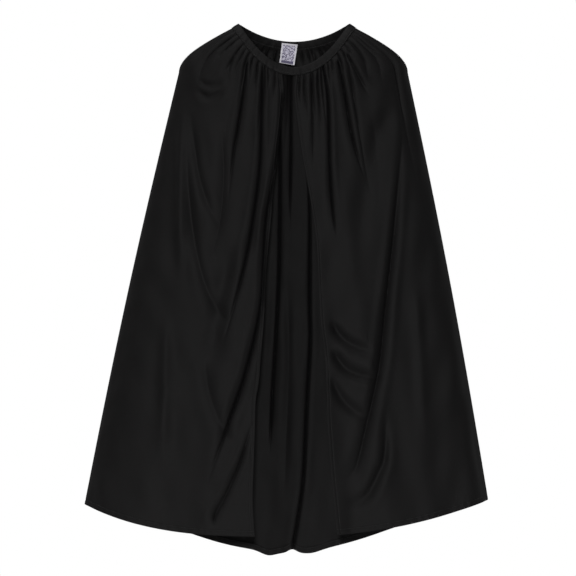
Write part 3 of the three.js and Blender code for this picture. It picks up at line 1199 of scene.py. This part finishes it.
@dataclass
class FrontSpan(ClothSpan):
    """A front: from its open edge to the side line. It swings open about its crease."""

    path: Path2D = ()
    top: float = 0.0
    edge: TurnedEdge = TurnedEdge(width=6.0 * MM, stitch=5.0 * MM)

    def __post_init__(self) -> None:
        """Reads the open edge's path, and works out the curves."""
        run = spline(self.path, 200)[::-1] * MM
        self.edge_z = run[:, 1]
        sway = self.shape.sway * np.clip(-run[:, 1] / self.shape.corner_drop, 0, 1.1)
        self.edge_x = (run[:, 0] - sway) * float(self.hand)
        super().__post_init__()
        self.down_table = np.linspace(0, 1, 200)
        z = blend_values(self.seam[0, 2], self.hem_line[0, 2], self.down_table)
        wanted = np.arccos(np.interp(z, self.edge_z, self.edge_x) / self.shape.half_width(z))
        straight = blend_values(self.seam_phi[0], self.hem_phi[0], self.down_table)
        self.shift_table = (wanted - straight) * smooth(self.down_table / 0.05)

    def _ends(self) -> tuple[float, float]:
        """The band's angles at the open edge and at the side line."""
        return -math.acos(self.top / self.shape.neck.half_width), 0.0

    def _hem_xs(self) -> Grid:
        """The hem's X from the open edge to the side line."""
        start = self.edge_x[0]
        u = np.linspace(0, 1, 3 * self.samples)
        return start + (self.shape.reach(self.hand) - start) * np.sin(math.pi / 2 * u)

    def _shift(self, down: Grid) -> Grid:
        """How far the open edge's angle is from straight, at some shares down."""
        return np.interp(down, self.down_table, self.shift_table)

    def _density(self, q: Grid) -> Grid:
        """How close together the columns are: closer at the side line and towards the open edge."""
        return 1 + 0.8 * smooth((0.6 - q) / 0.3) + 1.2 * np.exp(-(1 - q) / 0.05)

    def _edge_distances(self) -> Grid:
        """Distances from the open edge at which the mesh has a column."""
        return self.edge.distances()

    def _calm(self, across: Grid) -> Grid:
        """Nought on the side line, and one away from it."""
        return smooth((1 - across) / 0.08)

    def _edges(self, lay: Layout) -> tuple[Grid, Grid]:
        """How far the outer face sinks, and how thick the cloth is."""
        sink = self.hem.sink(lay.from_hem) + self.edge.sink(lay.from_edge)
        return sink, np.maximum(self.hem.thickness(lay.from_hem), self.edge.thickness(lay.from_edge))

    def edge_stitches(self, stitching: Stitching, material: bpy.types.Material) -> bpy.types.Object:
        """Sews the open edge, on both faces."""
        column = int(np.argmin(np.abs(self.lay.from_edge[self.rows // 2] - self.edge.stitch)))
        below = slice(len(self.tuck), None)
        solid = Solid()
        for face, sign in ((self.outer, 1), (self.inner, -1)):
            normal = self.normal[below, column] * sign
            count = stitching.sew(solid, face[below, column] + normal * self.STITCH_LIFT, normal)
        log.info("%s edge: %d stitches a face", self.name, count)
        return solid.build(f"{self.name}_edge_stitches", material)


# ---------------------------------------------------------------- neckband, closure and label


@dataclass
class BandSpan:
    """A length of the neckband: a strip folded over the gathered edge and sewn through."""

    name: str
    neck: NeckLine
    start: float
    end: float
    seed: int
    hand: Hand = Hand.LEFT
    free_start: bool = False
    step: float = 0.9 * MM
    pucker: float = 0.34 * MM
    stitch_down: float = 9.6 * MM
    stitch_out: float = 0.98 * MM
    samples: int = 800

    PROFILE = (
        (0.28, 0.85), (0.9, 1.12), (2.2, 1.28), (4.0, 1.34), (5.8, 1.34), (7.4, 1.32), (8.6, 1.24),
        (9.2, 1.0), (9.6, 0.86), (10.0, 1.0), (10.5, 1.22), (11.0, 1.2), (11.35, 0.95), (11.5, 0.45),
    )

    def place(self, theta: Grid, down: Grid, out: Grid) -> Grid:
        """Points by angle, distance down the band's face, and distance out of its middle."""
        edge, fall, normal = self.neck.at(theta, self.hand)
        return edge + fall * down[..., None] + normal * (self.neck.middle + out)[..., None]

    def _bulge(self, arc: Grid, down: Grid) -> Grid:
        """Small puckers that grow towards the gathered edge."""
        rng = np.random.default_rng(self.seed)
        out = np.zeros(np.broadcast(arc, down).shape)
        for _ in range(7):
            wave = 2 * math.pi / (rng.uniform(5.0, 13.0) * MM)
            slant = rng.uniform(-0.5, 0.5)
            out += np.sin(wave * (arc + slant * down) + rng.uniform(0, 2 * math.pi))
        grow = 0.25 + 0.75 * smooth(down / self.neck.height)
        return self.pucker * out / 2.6 * grow

    def build(self, material: bpy.types.Material) -> bpy.types.Object:
        """Makes the length of band."""
        profile = np.array(self.PROFILE) * MM
        half = np.concatenate([profile, profile[::-1] * [1, -1], [[0.0, 0.0]]])
        down, out = half[:, 0], half[:, 1]
        fine = np.linspace(self.start, self.end, self.samples)
        line = self.place(fine, np.full_like(fine, 0.5 * self.neck.height), np.zeros_like(fine))
        lengths = run_lengths(line)
        count = int(lengths[-1] / self.step) + 1
        arc = np.linspace(0, lengths[-1], count)
        theta = np.interp(arc, lengths, fine)
        grow = np.ones(count)
        if self.free_start:
            grow = 1 - 0.55 * np.exp(-arc / (0.5 * MM))
        middle = 0.5 * self.neck.height
        downs = middle + (down[None] - middle) * (0.5 + 0.5 * grow[:, None])
        bulge = self._bulge(arc[:, None], downs)
        outs = out[None] * grow[:, None] + bulge
        rings = self.place(np.broadcast_to(theta[:, None], outs.shape), downs, outs)
        if self.hand is Hand.RIGHT:
            rings = rings[:, ::-1]
        self.arc, self.theta = arc, theta
        worn = np.broadcast_to(np.exp(-downs / (1.0 * MM)) * 0.7, outs.shape)
        solid = Solid()
        solid.sweep(rings, worn[:, :: int(self.hand)])
        made = solid.build(self.name, material, 65.0)
        log.info("%s: %.0f mm", self.name, lengths[-1] / MM)
        return made

    def stitches(self, stitching: Stitching, material: bpy.types.Material) -> bpy.types.Object:
        """Sews the length of band through, near its lower edge, on both faces."""
        solid = Solid()
        down = np.full(len(self.arc), self.stitch_down)
        bulge = self._bulge(self.arc, down)
        normal = self.neck.at(self.theta, self.hand)[2]
        for sign in (1, -1):
            line = self.place(self.theta, down, bulge + sign * self.stitch_out)
            count = stitching.sew(solid, line, normal * sign)
        log.info("%s: %d stitches a face", self.name, count)
        return solid.build(f"{self.name}_stitches", material)


@dataclass
class TapePatch:
    """A patch of hook or loop tape on the band's end."""

    name: str
    neck: NeckLine
    centre: float
    out: float
    facing: int
    hooks: bool
    hand: Hand
    width: float = 10 * MM
    height: float = 8 * MM
    thickness: float = 0.5 * MM
    pile: float = 0.38 * MM
    pile_pitch: float = 0.62 * MM
    pile_radius: float = 0.06 * MM
    middle: float = 5.5 * MM
    stitch_inset: float = 0.8 * MM
    stitch_out: float = 1.45 * MM
    seed: int = 5

    def _place(self, across: Grid, down: Grid, out: Grid) -> Grid:
        """Points by distance across and down from the patch's centre, and out of its base."""
        x = (self.centre + across) * float(self.hand)
        theta = -np.arccos(np.clip(x / self.neck.half_width, -1, 1))
        edge, fall, normal = self.neck.at(theta, self.hand)
        away = self.neck.middle + self.out + self.facing * out
        return edge + fall * (self.middle + down)[..., None] + normal * away[..., None]

    def build(self, material: bpy.types.Material) -> bpy.types.Object:
        """Makes the patch, with its hooks or loops."""
        u, v = np.meshgrid(np.linspace(-1, 1, 15), np.linspace(-1, 1, 13))
        corner = 1 - 0.06 * smooth((np.abs(u) - 0.6) / 0.4) * smooth((np.abs(v) - 0.6) / 0.4)
        across, down = u * corner * self.width / 2, v * corner * self.height / 2
        rim = np.maximum(np.abs(u), np.abs(v)) > 0.99
        high = np.where(rim, 0.6, 1.0) * self.thickness
        top, bottom = self._place(across, down, high), self._place(across, down, 0 * high)
        if self.facing < 0:
            top, bottom = bottom, top
        solid = Solid()
        solid.sheet(top, bottom, np.stack([across, -down], -1), 0 * high)
        self._pile(solid)
        made = solid.build(self.name, material)
        log.info("%s: %d points", self.name, len(made.data.vertices))
        return made

    def _pile(self, solid: Solid) -> None:
        """Adds the hooks in rows, or the loops at random."""
        rng = np.random.default_rng(self.seed)
        turns = np.linspace(0, 2 * math.pi, 5, endpoint=False)
        arch = np.linspace(0, 0.72 if self.hooks else 1.0, 6) * math.pi
        pitch = self.pile_pitch
        for across in np.arange(-self.width / 2 + pitch, self.width / 2 - pitch / 2, pitch):
            for down in np.arange(-self.height / 2 + pitch, self.height / 2 - pitch / 2, pitch * 1.2):
                turn = 0.0 if self.hooks else rng.uniform(0, 2 * math.pi)
                lie = 0.17 * MM * (1 - np.cos(arch))
                a = across + lie * math.cos(turn)
                d = down + lie * math.sin(turn)
                line = self._place(a, d, self.thickness + self.pile * np.sin(arch))
                run = unit(np.gradient(line, axis=0))
                side = unit(np.cross(run, np.array([0.3, 1.0, 0.2])))
                other = np.cross(run, side)
                ring = side[:, None] * np.cos(turns)[:, None] + other[:, None] * np.sin(turns)[:, None]
                solid.sweep(line[:, None] + ring * self.pile_radius)

    def box_stitches(self, stitching: Stitching, material: bpy.types.Material, name: str) -> bpy.types.Object:
        """Sews the patch down, all round, on the band's face away from it."""
        w, h = self.width / 2 - self.stitch_inset, self.height / 2 - self.stitch_inset
        corners = np.array([[-w, -h], [w, -h], [w, h], [-w, h], [-w, -h]])
        solid = Solid()
        away = -self.facing * self.stitch_out - self.out
        t = np.linspace(0, 1, 20)[:, None]
        for a, b in zip(corners[:-1], corners[1:]):
            across, down = (a + (b - a) * t).T
            line = self._place(across, down, np.full_like(across, away * self.facing))
            higher = self._place(across, down, np.full_like(across, away * self.facing - MM))
            stitching.sew(solid, line, unit(higher - line))
        return solid.build(name, material)


@dataclass
class CareLabel:
    """The woven label that hangs inside the back of the neck."""

    name: str
    corner: tuple[float, float, float] = (-15.94 * MM, 27.76 * MM, -17.15 * MM)
    slant: float = math.radians(6)
    width: float = 21 * MM
    length: float = 27 * MM
    thickness: float = 0.42 * MM
    curl: float = 1.3 * MM
    skew: float = 1.5 * MM
    drop: float = 1.4 * MM
    stitch_down: float = 1.3 * MM
    stitch_out: float = 0.32 * MM

    def _place(self, across: Grid, along: Grid, out: Grid) -> Grid:
        """Points by distance across and down the label, and out of it towards the wearer."""
        right = np.array([math.cos(self.slant), 0, -math.sin(self.slant)])
        down = np.array([-math.sin(self.slant), 0, -math.cos(self.slant)])
        face = np.array([0.0, -1.0, 0.0])
        share = along / self.length
        bow = self.curl * (share**2.4) * (0.35 + 0.65 * (across / self.width - 0.35) ** 2 * 3)
        wave = 0.22 * MM * np.sin(across / (3.1 * MM) + 1.2) * share
        lift = (out + bow + wave)[..., None]
        askew = across - self.skew * share * (0.4 + 0.6 * across / self.width)
        low = along + self.drop * share * (across / self.width - 0.5)
        return np.array(self.corner) + right * askew[..., None] + down * low[..., None] + face * lift

    def build(self, material: bpy.types.Material) -> bpy.types.Object:
        """Makes the label, with its folded sides."""
        u, v = np.meshgrid(np.linspace(0, 1, 44), np.linspace(0, 1, 54))
        u = 0.5 - 0.5 * np.cos(math.pi * u) * (0.6 + 0.4 * np.abs(np.cos(math.pi * u)))
        across, along = u * self.width, v * self.length
        side = np.minimum(across, self.width - across)
        fold = np.exp(-((side / (1.9 * MM)) ** 6))
        rim = np.exp(-side / (0.25 * MM)) + np.exp(-(self.length - along) / (0.25 * MM))
        rib = 0.05 * MM * np.sin(along / (0.9 * MM)) * fold
        high = self.thickness / 2 * (1 + 0.35 * fold - 0.8 * np.clip(rim, 0, 1)) + rib
        front = self._place(across, along, high)
        back = self._place(across, along, -high)
        solid = Solid()
        solid.sheet(front, back, np.stack([across, along], -1), 0 * u)
        made = solid.build(self.name, material)
        log.info("%s: %d points", self.name, len(made.data.vertices))
        return made

    def stitches(self, stitching: Stitching, material: bpy.types.Material) -> bpy.types.Object:
        """Sews the label along its top edge."""
        across = np.linspace(0.3 * MM, self.width - 0.3 * MM, 40)
        along = np.full_like(across, self.stitch_down)
        line = self._place(across, along, np.full_like(across, self.stitch_out))
        solid = Solid()
        stitching.sew(solid, line, np.tile([0.0, -1.0, 0.0], (len(across), 1)))
        return solid.build(f"{self.name}_stitches", material)


# ---------------------------------------------------------------- the cape's own edges and folds

# Seen from the front, in millimetres: the distance to the wearer's left, and the height.
LEFT_EDGE = (
    (-2.8, -62), (3.0, -113), (10.5, -166), (18, -206), (24.3, -244), (30, -292), (34.3, -379),
    (39.2, -421), (42.2, -463), (43.6, -513), (46.2, -553), (50.2, -604), (55.4, -657), (58, -670),
)
RIGHT_EDGE = (
    (-11.9, -67), (-17.2, -127), (-20.5, -153), (-23.8, -187), (-28.1, -216), (-30.4, -252), (-37, -322),
    (-39.6, -385), (-43.6, -436), (-46.2, -467), (-50.2, -492), (-51.5, -540), (-54.1, -618), (-51.5, -669),
)

RIGHT_FOLDS = (
    Fold(((-62, -43), (-65, -71), (-74, -129), (-80.5, -169), (-88, -235)),
         8.0, (2.2, 5.0), (0.03, 0.45), lean=-1, slit=0.8, lip=0.1),
    Fold(((-41, -45), (-43, -129), (-45, -182), (-51.5, -235), (-61, -292), (-71, -335), (-84.5, -384),
          (-98, -428)), 10.0, (2.4, 6.0), (0.03, 0.5), lean=-1, slit=0.78, lip=0.1),
    Fold(((-14.5, -67), (-18.5, -137), (-29.4, -208), (-37, -252), (-40.3, -309), (-42.2, -351),
          (-48.8, -393), (-64.7, -457), (-82.4, -508), (-98, -553), (-119, -612)),
         12.0, (2.6, 5.0), (0.06, 0.25), slit=0.78, lip=0.1),
    Fold(((-53, -513), (-65, -553), (-75, -581), (-90, -615), (-104, -641), (-104, -655)),
         6.0, (2.2, 5.0), (0.3, 0.2), lean=-1),
    Fold(((-80.5, -38), (-87, -50), (-98, -63)), 2.4, (1.8, 3.0), (0.1, 0.5)),
    Fold(((-127, -66), (-116, -74), (-103, -74), (-92, -66)), 2.4, (3.0, 4.0), (0.3, 0.4), sharp=0.0),
    Fold(((-130, -78), (-116, -90), (-100, -86), (-88, -74)),
         3.0, (4.0, 5.0), (0.3, 0.4), lean=-1, sharp=0.0),
    Fold(((-148, -93), (-150, -220), (-149, -357)), -3.0, (5.0, 7.0), (0.3, 0.3), sharp=0.0),
    Fold(((-168, -371), (-170, -470), (-173, -578)), -3.2, (6.0, 8.0), (0.3, 0.3), sharp=0.0),
    Fold(((-137, -107), (-131, -160), (-124, -200), (-110, -240), (-92, -268)),
         3.2, (3.5, 6.0), (0.3, 0.4), lean=-1, sharp=0.5),
    Fold(((-143, -120), (-137, -243), (-120, -330), (-98, -376), (-80, -392)),
         3.4, (4.0, 7.0), (0.3, 0.4), lean=-1, sharp=0.5),
    Fold(((-78, -265), (-98, -358), (-107, -410), (-104, -450)), 5.0, (12.0, 14.0), (0.3, 0.4), sharp=0.0),
    Fold(((-96, -120), (-93, -190), (-99, -260), (-118, -330)), 3.2, (5.0, 8.0), (0.3, 0.4), sharp=0.5),
    Fold(((-120, -420), (-112, -480), (-92, -530), (-66, -560)),
         2.6, (5.0, 8.0), (0.3, 0.4), lean=-1, sharp=0.4),
)

LEFT_FOLDS = (
    Fold(((36.6, -41), (45, -94), (47.5, -182), (51.5, -243), (57, -278)),
         9.5, (2.3, 3.8), (0.03, 0.45), slit=0.8, lip=0.08),
    Fold(((58, -41), (67, -84), (78, -146), (94, -199)), 9.0, (2.3, 4.2), (0.03, 0.45), slit=0.8, lip=0.08),
    Fold(((70, -32), (80, -52), (90, -71), (100, -90)), 6.0, (2.0, 4.0), (0.05, 0.5)),
    Fold(((23, -58), (24, -90), (25, -140), (26, -190)), 3.0, (1.8, 3.0), (0.03, 0.5), lean=-1),
    Fold(((146.5, -90), (140, -182), (133, -269), (124, -348), (120, -384), (114, -441), (106.5, -479),
          (96, -524), (86, -566), (78, -586), (59, -599)), 8.0, (3.5, 7.0), (0.25, 0.3), sharp=0.7),
    Fold(((121, -497), (120, -561), (112, -586), (94, -618), (65, -626)),
         5.5, (4.0, 6.5), (0.3, 0.35), sharp=0.1),
    Fold(((48, -384), (58, -400), (71, -413), (94, -423), (106, -421)),
         4.8, (4.5, 6.5), (0.2, 0.45), sharp=0.0),
    Fold(((50, -422), (60, -438), (74, -451), (103, -460), (117, -455)),
         5.0, (4.5, 6.5), (0.2, 0.4), sharp=0.0),
    Fold(((49, -458), (57, -478), (71, -496), (94, -512), (108, -514)),
         4.2, (4.5, 7.0), (0.2, 0.5), sharp=0.0),
    Fold(((77.6, -6.5), (87, -14), (104, -28), (119, -35.5), (131.5, -39.5)), 2.6, (1.6, 3.0), (0.2, 0.5)),
    Fold(((133, -100), (117, -124), (103, -173), (91, -269), (74, -344)),
         3.4, (12.0, 14.0), (0.3, 0.4), sharp=0.0),
    Fold(((100, -100), (108, -150), (112, -215), (104, -290)), 1.0, (5.0, 8.0), (0.3, 0.4), sharp=0.2),
    Fold(((160, -330), (166, -430), (172, -560)), -2.6, (6.0, 9.0), (0.3, 0.3), sharp=0.0),
)

BACK_FOLDS = (
    Fold(((-4, -40), (-4, -160), (-6, -265)), -9.0, (2.4, 2.8), (0.02, 0.5), slit=0.95, lip=0.04),
    Fold(((-18, -110), (-18.5, -208), (-20, -322), (-24, -409), (-28, -476), (-30, -519), (-33, -565)),
         -11.0, (2.6, 3.8), (0.12, 0.3), slit=0.95, lip=0.04),
    Fold(((16, -170), (21, -245), (21, -358), (22, -406), (20, -449), (16.5, -513), (13, -591), (6, -644),
          (-1, -684)), -11.0, (2.6, 4.0), (0.2, 0.0), lean=-1, slit=0.95, lip=0.04),
    Fold(((-8, -330), (-7, -430), (-10, -540), (-14, -640)), -2.4, (4.0, 6.0), (0.3, 0.3), sharp=0.2),
)


def fan_folds(seed: int, count: int, deepest: float) -> Folds:
    """Long folds that fan out from the band to the hem on either side of the middle.

    Args:
        seed: What the folds are drawn from.
        count: How many there are on each side.
        deepest: The most that one moves the cloth, in millimetres.

    Returns:
        The folds, as valleys seen from outside.
    """
    rng = np.random.default_rng(seed)
    folds = []
    for side in (-1, 1):
        for i in range(count):
            top = 22 + 46 * (i + rng.uniform(0.2, 0.8)) / count
            low = top * rng.uniform(2.4, 3.1)
            start, end = -26 + 0.15 * top - rng.uniform(0, 25), -rng.uniform(330, 655)
            middle = (side * (top + 0.42 * (low - top)), 0.5 * (start + end))
            path = ((side * top, start), middle, (side * low, end))
            widths = (rng.uniform(2.0, 3.0), rng.uniform(6.0, 11.0))
            lean = int(rng.choice((-1, 1)))
            folds.append(Fold(path, deepest * rng.uniform(0.5, 1.0), widths, (0.06, 0.45), lean, 0.75))
    return tuple(folds)


# ---------------------------------------------------------------- studio


@dataclass(frozen=True)
class Lamp:
    """A square soft light, placed from the middle of the cape, which it faces."""

    name: str
    place: tuple[float, float, float]
    size: float
    watts: float

    def build(self, target: Vector) -> None:
        """Adds the lamp, out of the camera's sight."""
        light = bpy.data.lights.new(self.name, "AREA")
        light.size = self.size
        light.energy = self.watts
        made = bpy.data.objects.new(self.name, light)
        made.location = target + Vector(self.place)
        made.rotation_euler = (-Vector(self.place)).to_track_quat("-Z", "Y").to_euler()
        made.visible_camera = False
        bpy.context.scene.collection.objects.link(made)


@dataclass
class Studio:
    """A plain pale floor under soft light, with the camera level in front of the cape."""

    centre: tuple[float, float] = (-7.9 * MM, -342 * MM)
    view_width: float = 0.760
    distance: float = 12.0
    subject_depth: float = -0.03
    floor_drop: float = 0.055
    floor_half: float = 0.62
    ambient: float = 0.05
    lamps: tuple[Lamp, ...] = (
        Lamp("front_light", (-0.1, -4.8, 0.22), 0.26, 88.0),
        Lamp("key_light", (-2.2, -3.4, 1.2), 1.6, 9.0),
        Lamp("back_light", (0.5, 4.4, 0.9), 1.5, 88.0),
        Lamp("left_light", (3.4, 1.4, 0.7), 1.6, 16.0),
        Lamp("right_light", (-3.4, 1.4, 0.7), 1.6, 16.0),
        Lamp("top_light", (-0.4, -0.6, 2.6), 1.6, 30.0),
    )

    def build(self) -> None:
        """Makes the floor, the world, the lights and the camera."""
        self._floor()
        self._world()
        x, z = self.centre
        for lamp in self.lamps:
            lamp.build(Vector((x, 0, z)))
        self._camera(x, z)
        bpy.context.scene.view_settings.view_transform = "Standard"
        log.info("studio: floor, world, %d soft lights and the camera", len(self.lamps))

    def _floor(self) -> None:
        """Lays the floor a little below the hem."""
        size, z = self.floor_half, CAD_BOX[0][2] - self.floor_drop
        mesh = bpy.data.meshes.new("studio_floor")
        corners = [(-1, -1), (1, -1), (1, 1), (-1, 1)]
        mesh.from_pydata([(a * size, b * size, z) for a, b in corners], [], [(0, 1, 2, 3)])
        mesh.materials.append(PaleFloor().build())
        floor = bpy.data.objects.new("studio_floor", mesh)
        bpy.context.scene.collection.objects.link(floor)

    def _world(self) -> None:
        """Lights everything evenly, and shows as white behind the cape."""
        world = bpy.data.worlds.new("studio_world")
        bpy.context.scene.world = world
        world.use_nodes = True
        tree = world.node_tree
        background = tree.nodes["Background"]
        background.inputs["Color"].default_value = (1, 1, 1, 1)
        path = tree.nodes.new("ShaderNodeLightPath")
        strength = tree.nodes.new("ShaderNodeMapRange")
        strength.inputs["To Min"].default_value = self.ambient
        strength.inputs["To Max"].default_value = 1.0
        tree.links.new(path.outputs["Is Camera Ray"], strength.inputs["Value"])
        tree.links.new(strength.outputs["Result"], background.inputs["Strength"])

    def _camera(self, x: float, z: float) -> None:
        """Adds the level camera, with a long lens."""
        camera = bpy.data.cameras.new("camera")
        reach = self.distance + self.subject_depth
        camera.lens = camera.sensor_width * reach / self.view_width
        camera.clip_end = 50.0
        made = bpy.data.objects.new("camera", camera)
        made.location = (x, -self.distance, z)
        made.rotation_euler = (math.pi / 2, 0, 0)
        bpy.context.scene.collection.objects.link(made)
        bpy.context.scene.camera = made


# ---------------------------------------------------------------- the cape


@dataclass
class Crease:
    """The line across a front that it swings open about."""

    point: tuple[float, float, float] = (65 * MM, -31.7 * MM, -21.5 * MM)
    across: tuple[float, float] = (0.979, 0.204)
    half_width: float = 15 * MM

    def bend(self, piece: bpy.types.Object, hand: Hand) -> None:
        """Works out the crease's two ends on this hand, and bakes the piece's placement into its mesh."""
        x, y, z = self.point
        dx, dz = self.across[0] * self.half_width, self.across[1] * self.half_width
        side = float(hand)
        start, end = (side * (x + dx), y, z + dz), (side * (x - dx), y, z - dz)
        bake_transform(piece)


@dataclass
class Cape:
    """The whole cape, as pieces that ride on the frame's bodies."""

    shape: HangingShape
    crease: Crease = field(default_factory=Crease)
    hem: TurnedEdge = TurnedEdge(width=8.0 * MM, stitch=7.0 * MM)

    def __post_init__(self) -> None:
        """Makes the finishes and the stitch sizes."""
        self.cloth = WovenCloth("black_cloth").build()
        self.band_cloth = WovenCloth("band_cloth", roughness=0.58, thread_pitch=0.38 * MM).build()
        black, shade = (0.017, 0.0165, 0.017, 1), (0.006, 0.006, 0.006, 1)
        self.thread = SewingThread("black_thread", black, shade).build()
        white, grey = (0.8, 0.79, 0.8, 1), (0.45, 0.44, 0.47, 1)
        self.label_thread = SewingThread("white_thread", white, grey).build()
        self.hook_tape = NylonTape("hook_tape", 0.42, 0.02).build()
        self.loop_tape = NylonTape("loop_tape", 0.75, 0.12).build()
        self.seam = Stitching()
        self.fine = Stitching(length=1.5 * MM, space=0.5 * MM, radius=0.18 * MM)

    @staticmethod
    def _set(piece: bpy.types.Object, slot: str, *nodes: str) -> bpy.types.Object:
        """Hides the frame's nodes that a piece stands for, and gives the piece back."""
        if nodes:
            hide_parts(*nodes)
        return piece

    def back(self) -> None:
        """Makes the back's cloth, hem stitches and band."""
        span = ClothSpan(
            name="cape_back",
            shape=self.shape,
            folds=BACK_FOLDS + fan_folds(15, 4, 7.0),
            gathers=Gathers(11, longest=125 * MM),
            billows=Billows(12, 7.5 * MM, (2.6, 6.4), (0.08, 0.08)),
            hem=self.hem,
            seed=13,
            columns=460,
            side=1,
        )
        cloth = self._set(span.build(self.cloth), "cloth", "back_panel")
        stitches = self._set(span.hem_stitches(self.seam, self.thread), "thread", "back_hem_stitch")
        band = BandSpan("band_back", self.shape.neck, 0.0, math.pi, seed=14)
        strip = self._set(band.build(self.band_cloth), "neckband", "neckband_back")
        sewn = self._set(band.stitches(self.seam, self.thread), "thread", "neckband_back_stitch")
        for piece in (cloth, stitches, strip, sewn):
            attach(piece, Body.BACK.value)

    def _front_span(self, hand: Hand, folds: Folds, edge: Path2D, seed: int, top: float) -> FrontSpan:
        """The cloth of one front.

        Args:
            hand: The side of the wearer.
            folds: Its folds.
            edge: Its open edge's path.
            seed: What its gathers, its billows and its swells are drawn from, each one further on.
            top: How far from the centre its open edge meets the band.

        Returns:
            The span, not built yet.
        """
        return FrontSpan(
            name=f"cape_{hand.word}",
            shape=self.shape,
            folds=folds,
            gathers=Gathers(seed + 1),
            billows=Billows(seed + 2, 3.0 * MM, (1.6, 3.4), (0.0, 0.1)),
            hem=self.hem,
            seed=seed + 3,
            columns=290,
            hand=hand,
            path=edge,
            top=top,
        )

    def _front_band(self, hand: Hand, tip: float, seed: int) -> BandSpan:
        """The band of one front, whose free end is some way from the centre."""
        neck = self.shape.neck
        start = -math.acos(tip / neck.half_width)
        return BandSpan(f"band_{hand.word}", neck, start, 0.0, seed=seed, hand=hand, free_start=True)

    def front(self, hand: Hand, span: FrontSpan, band: BandSpan) -> None:
        """Makes one front's cloth, stitches and band.

        Args:
            hand: The side of the wearer.
            span: The front's cloth.
            band: Its length of neckband.
        """
        word = hand.word
        cloth = self._set(span.build(self.cloth), "cloth", f"{word}_front_panel")
        hem = self._set(span.hem_stitches(self.seam, self.thread), "thread", f"{word}_hem_stitch")
        edge = self._set(span.edge_stitches(self.seam, self.thread), "thread", f"{word}_edge_stitch")
        strip = self._set(band.build(self.band_cloth), "neckband", f"neckband_{word}")
        sewn = self._set(band.stitches(self.seam, self.thread), "thread", f"neckband_{word}_stitch")
        for piece in (cloth, hem, strip, sewn):
            self.crease.bend(piece, hand)
        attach(edge, hand.body.value)

    def left(self) -> None:
        """Makes the wearer's left front, whose band laps over the other."""
        span = self._front_span(Hand.LEFT, LEFT_FOLDS, LEFT_EDGE, 20, 2 * MM)
        band = self._front_band(Hand.LEFT, -14 * MM, 24)
        self.front(Hand.LEFT, span, band)
        patch = TapePatch("hook_tape_patch", self.shape.neck, -7.5 * MM, -1.3 * MM, -1, True, Hand.LEFT)
        tape = self._set(patch.build(self.hook_tape), "hook_tape", "hook_patch")
        sewn = patch.box_stitches(self.fine, self.thread, "hook_tape_patch_stitches")
        self._set(sewn, "thread", "hook_patch_stitch")
        for piece in (tape, sewn):
            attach(piece, Body.LEFT.value)

    def right(self) -> None:
        """Makes the wearer's right front, whose band steps in behind the other."""
        span = self._front_span(Hand.RIGHT, RIGHT_FOLDS, RIGHT_EDGE, 30, 11 * MM)
        band = self._front_band(Hand.RIGHT, 1 * MM, 34)
        self.front(Hand.RIGHT, span, band)
        patch = TapePatch("loop_tape_patch", self.shape.neck, -7.5 * MM, 1.3 * MM, 1, False, Hand.RIGHT)
        tape = self._set(patch.build(self.loop_tape), "loop_tape", "loop_patch")
        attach(tape, Body.RIGHT.value)

    def label(self) -> None:
        """Makes the label and its stitches."""
        label = CareLabel("care_label")
        finish = WovenLabel("label_weave", label.width, label.length).build()
        piece = self._set(label.build(finish), "label", "woven_label")
        sewn = self._set(label.stitches(self.fine, self.label_thread), "label_thread", "label_stitch")
        for made in (piece, sewn):
            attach(made, Body.LABEL.value)

    def build(self) -> None:
        """Makes every piece."""
        self.back()
        self.left()
        self.right()
        self.label()


def main() -> None:
    """Builds the cape and its studio."""
    logging.basicConfig(level=logging.INFO, format="%(name)s: %(message)s")
    Studio().build()
    Cape(HangingShape(NeckLine())).build()


if __name__ == "__main__":
    main()
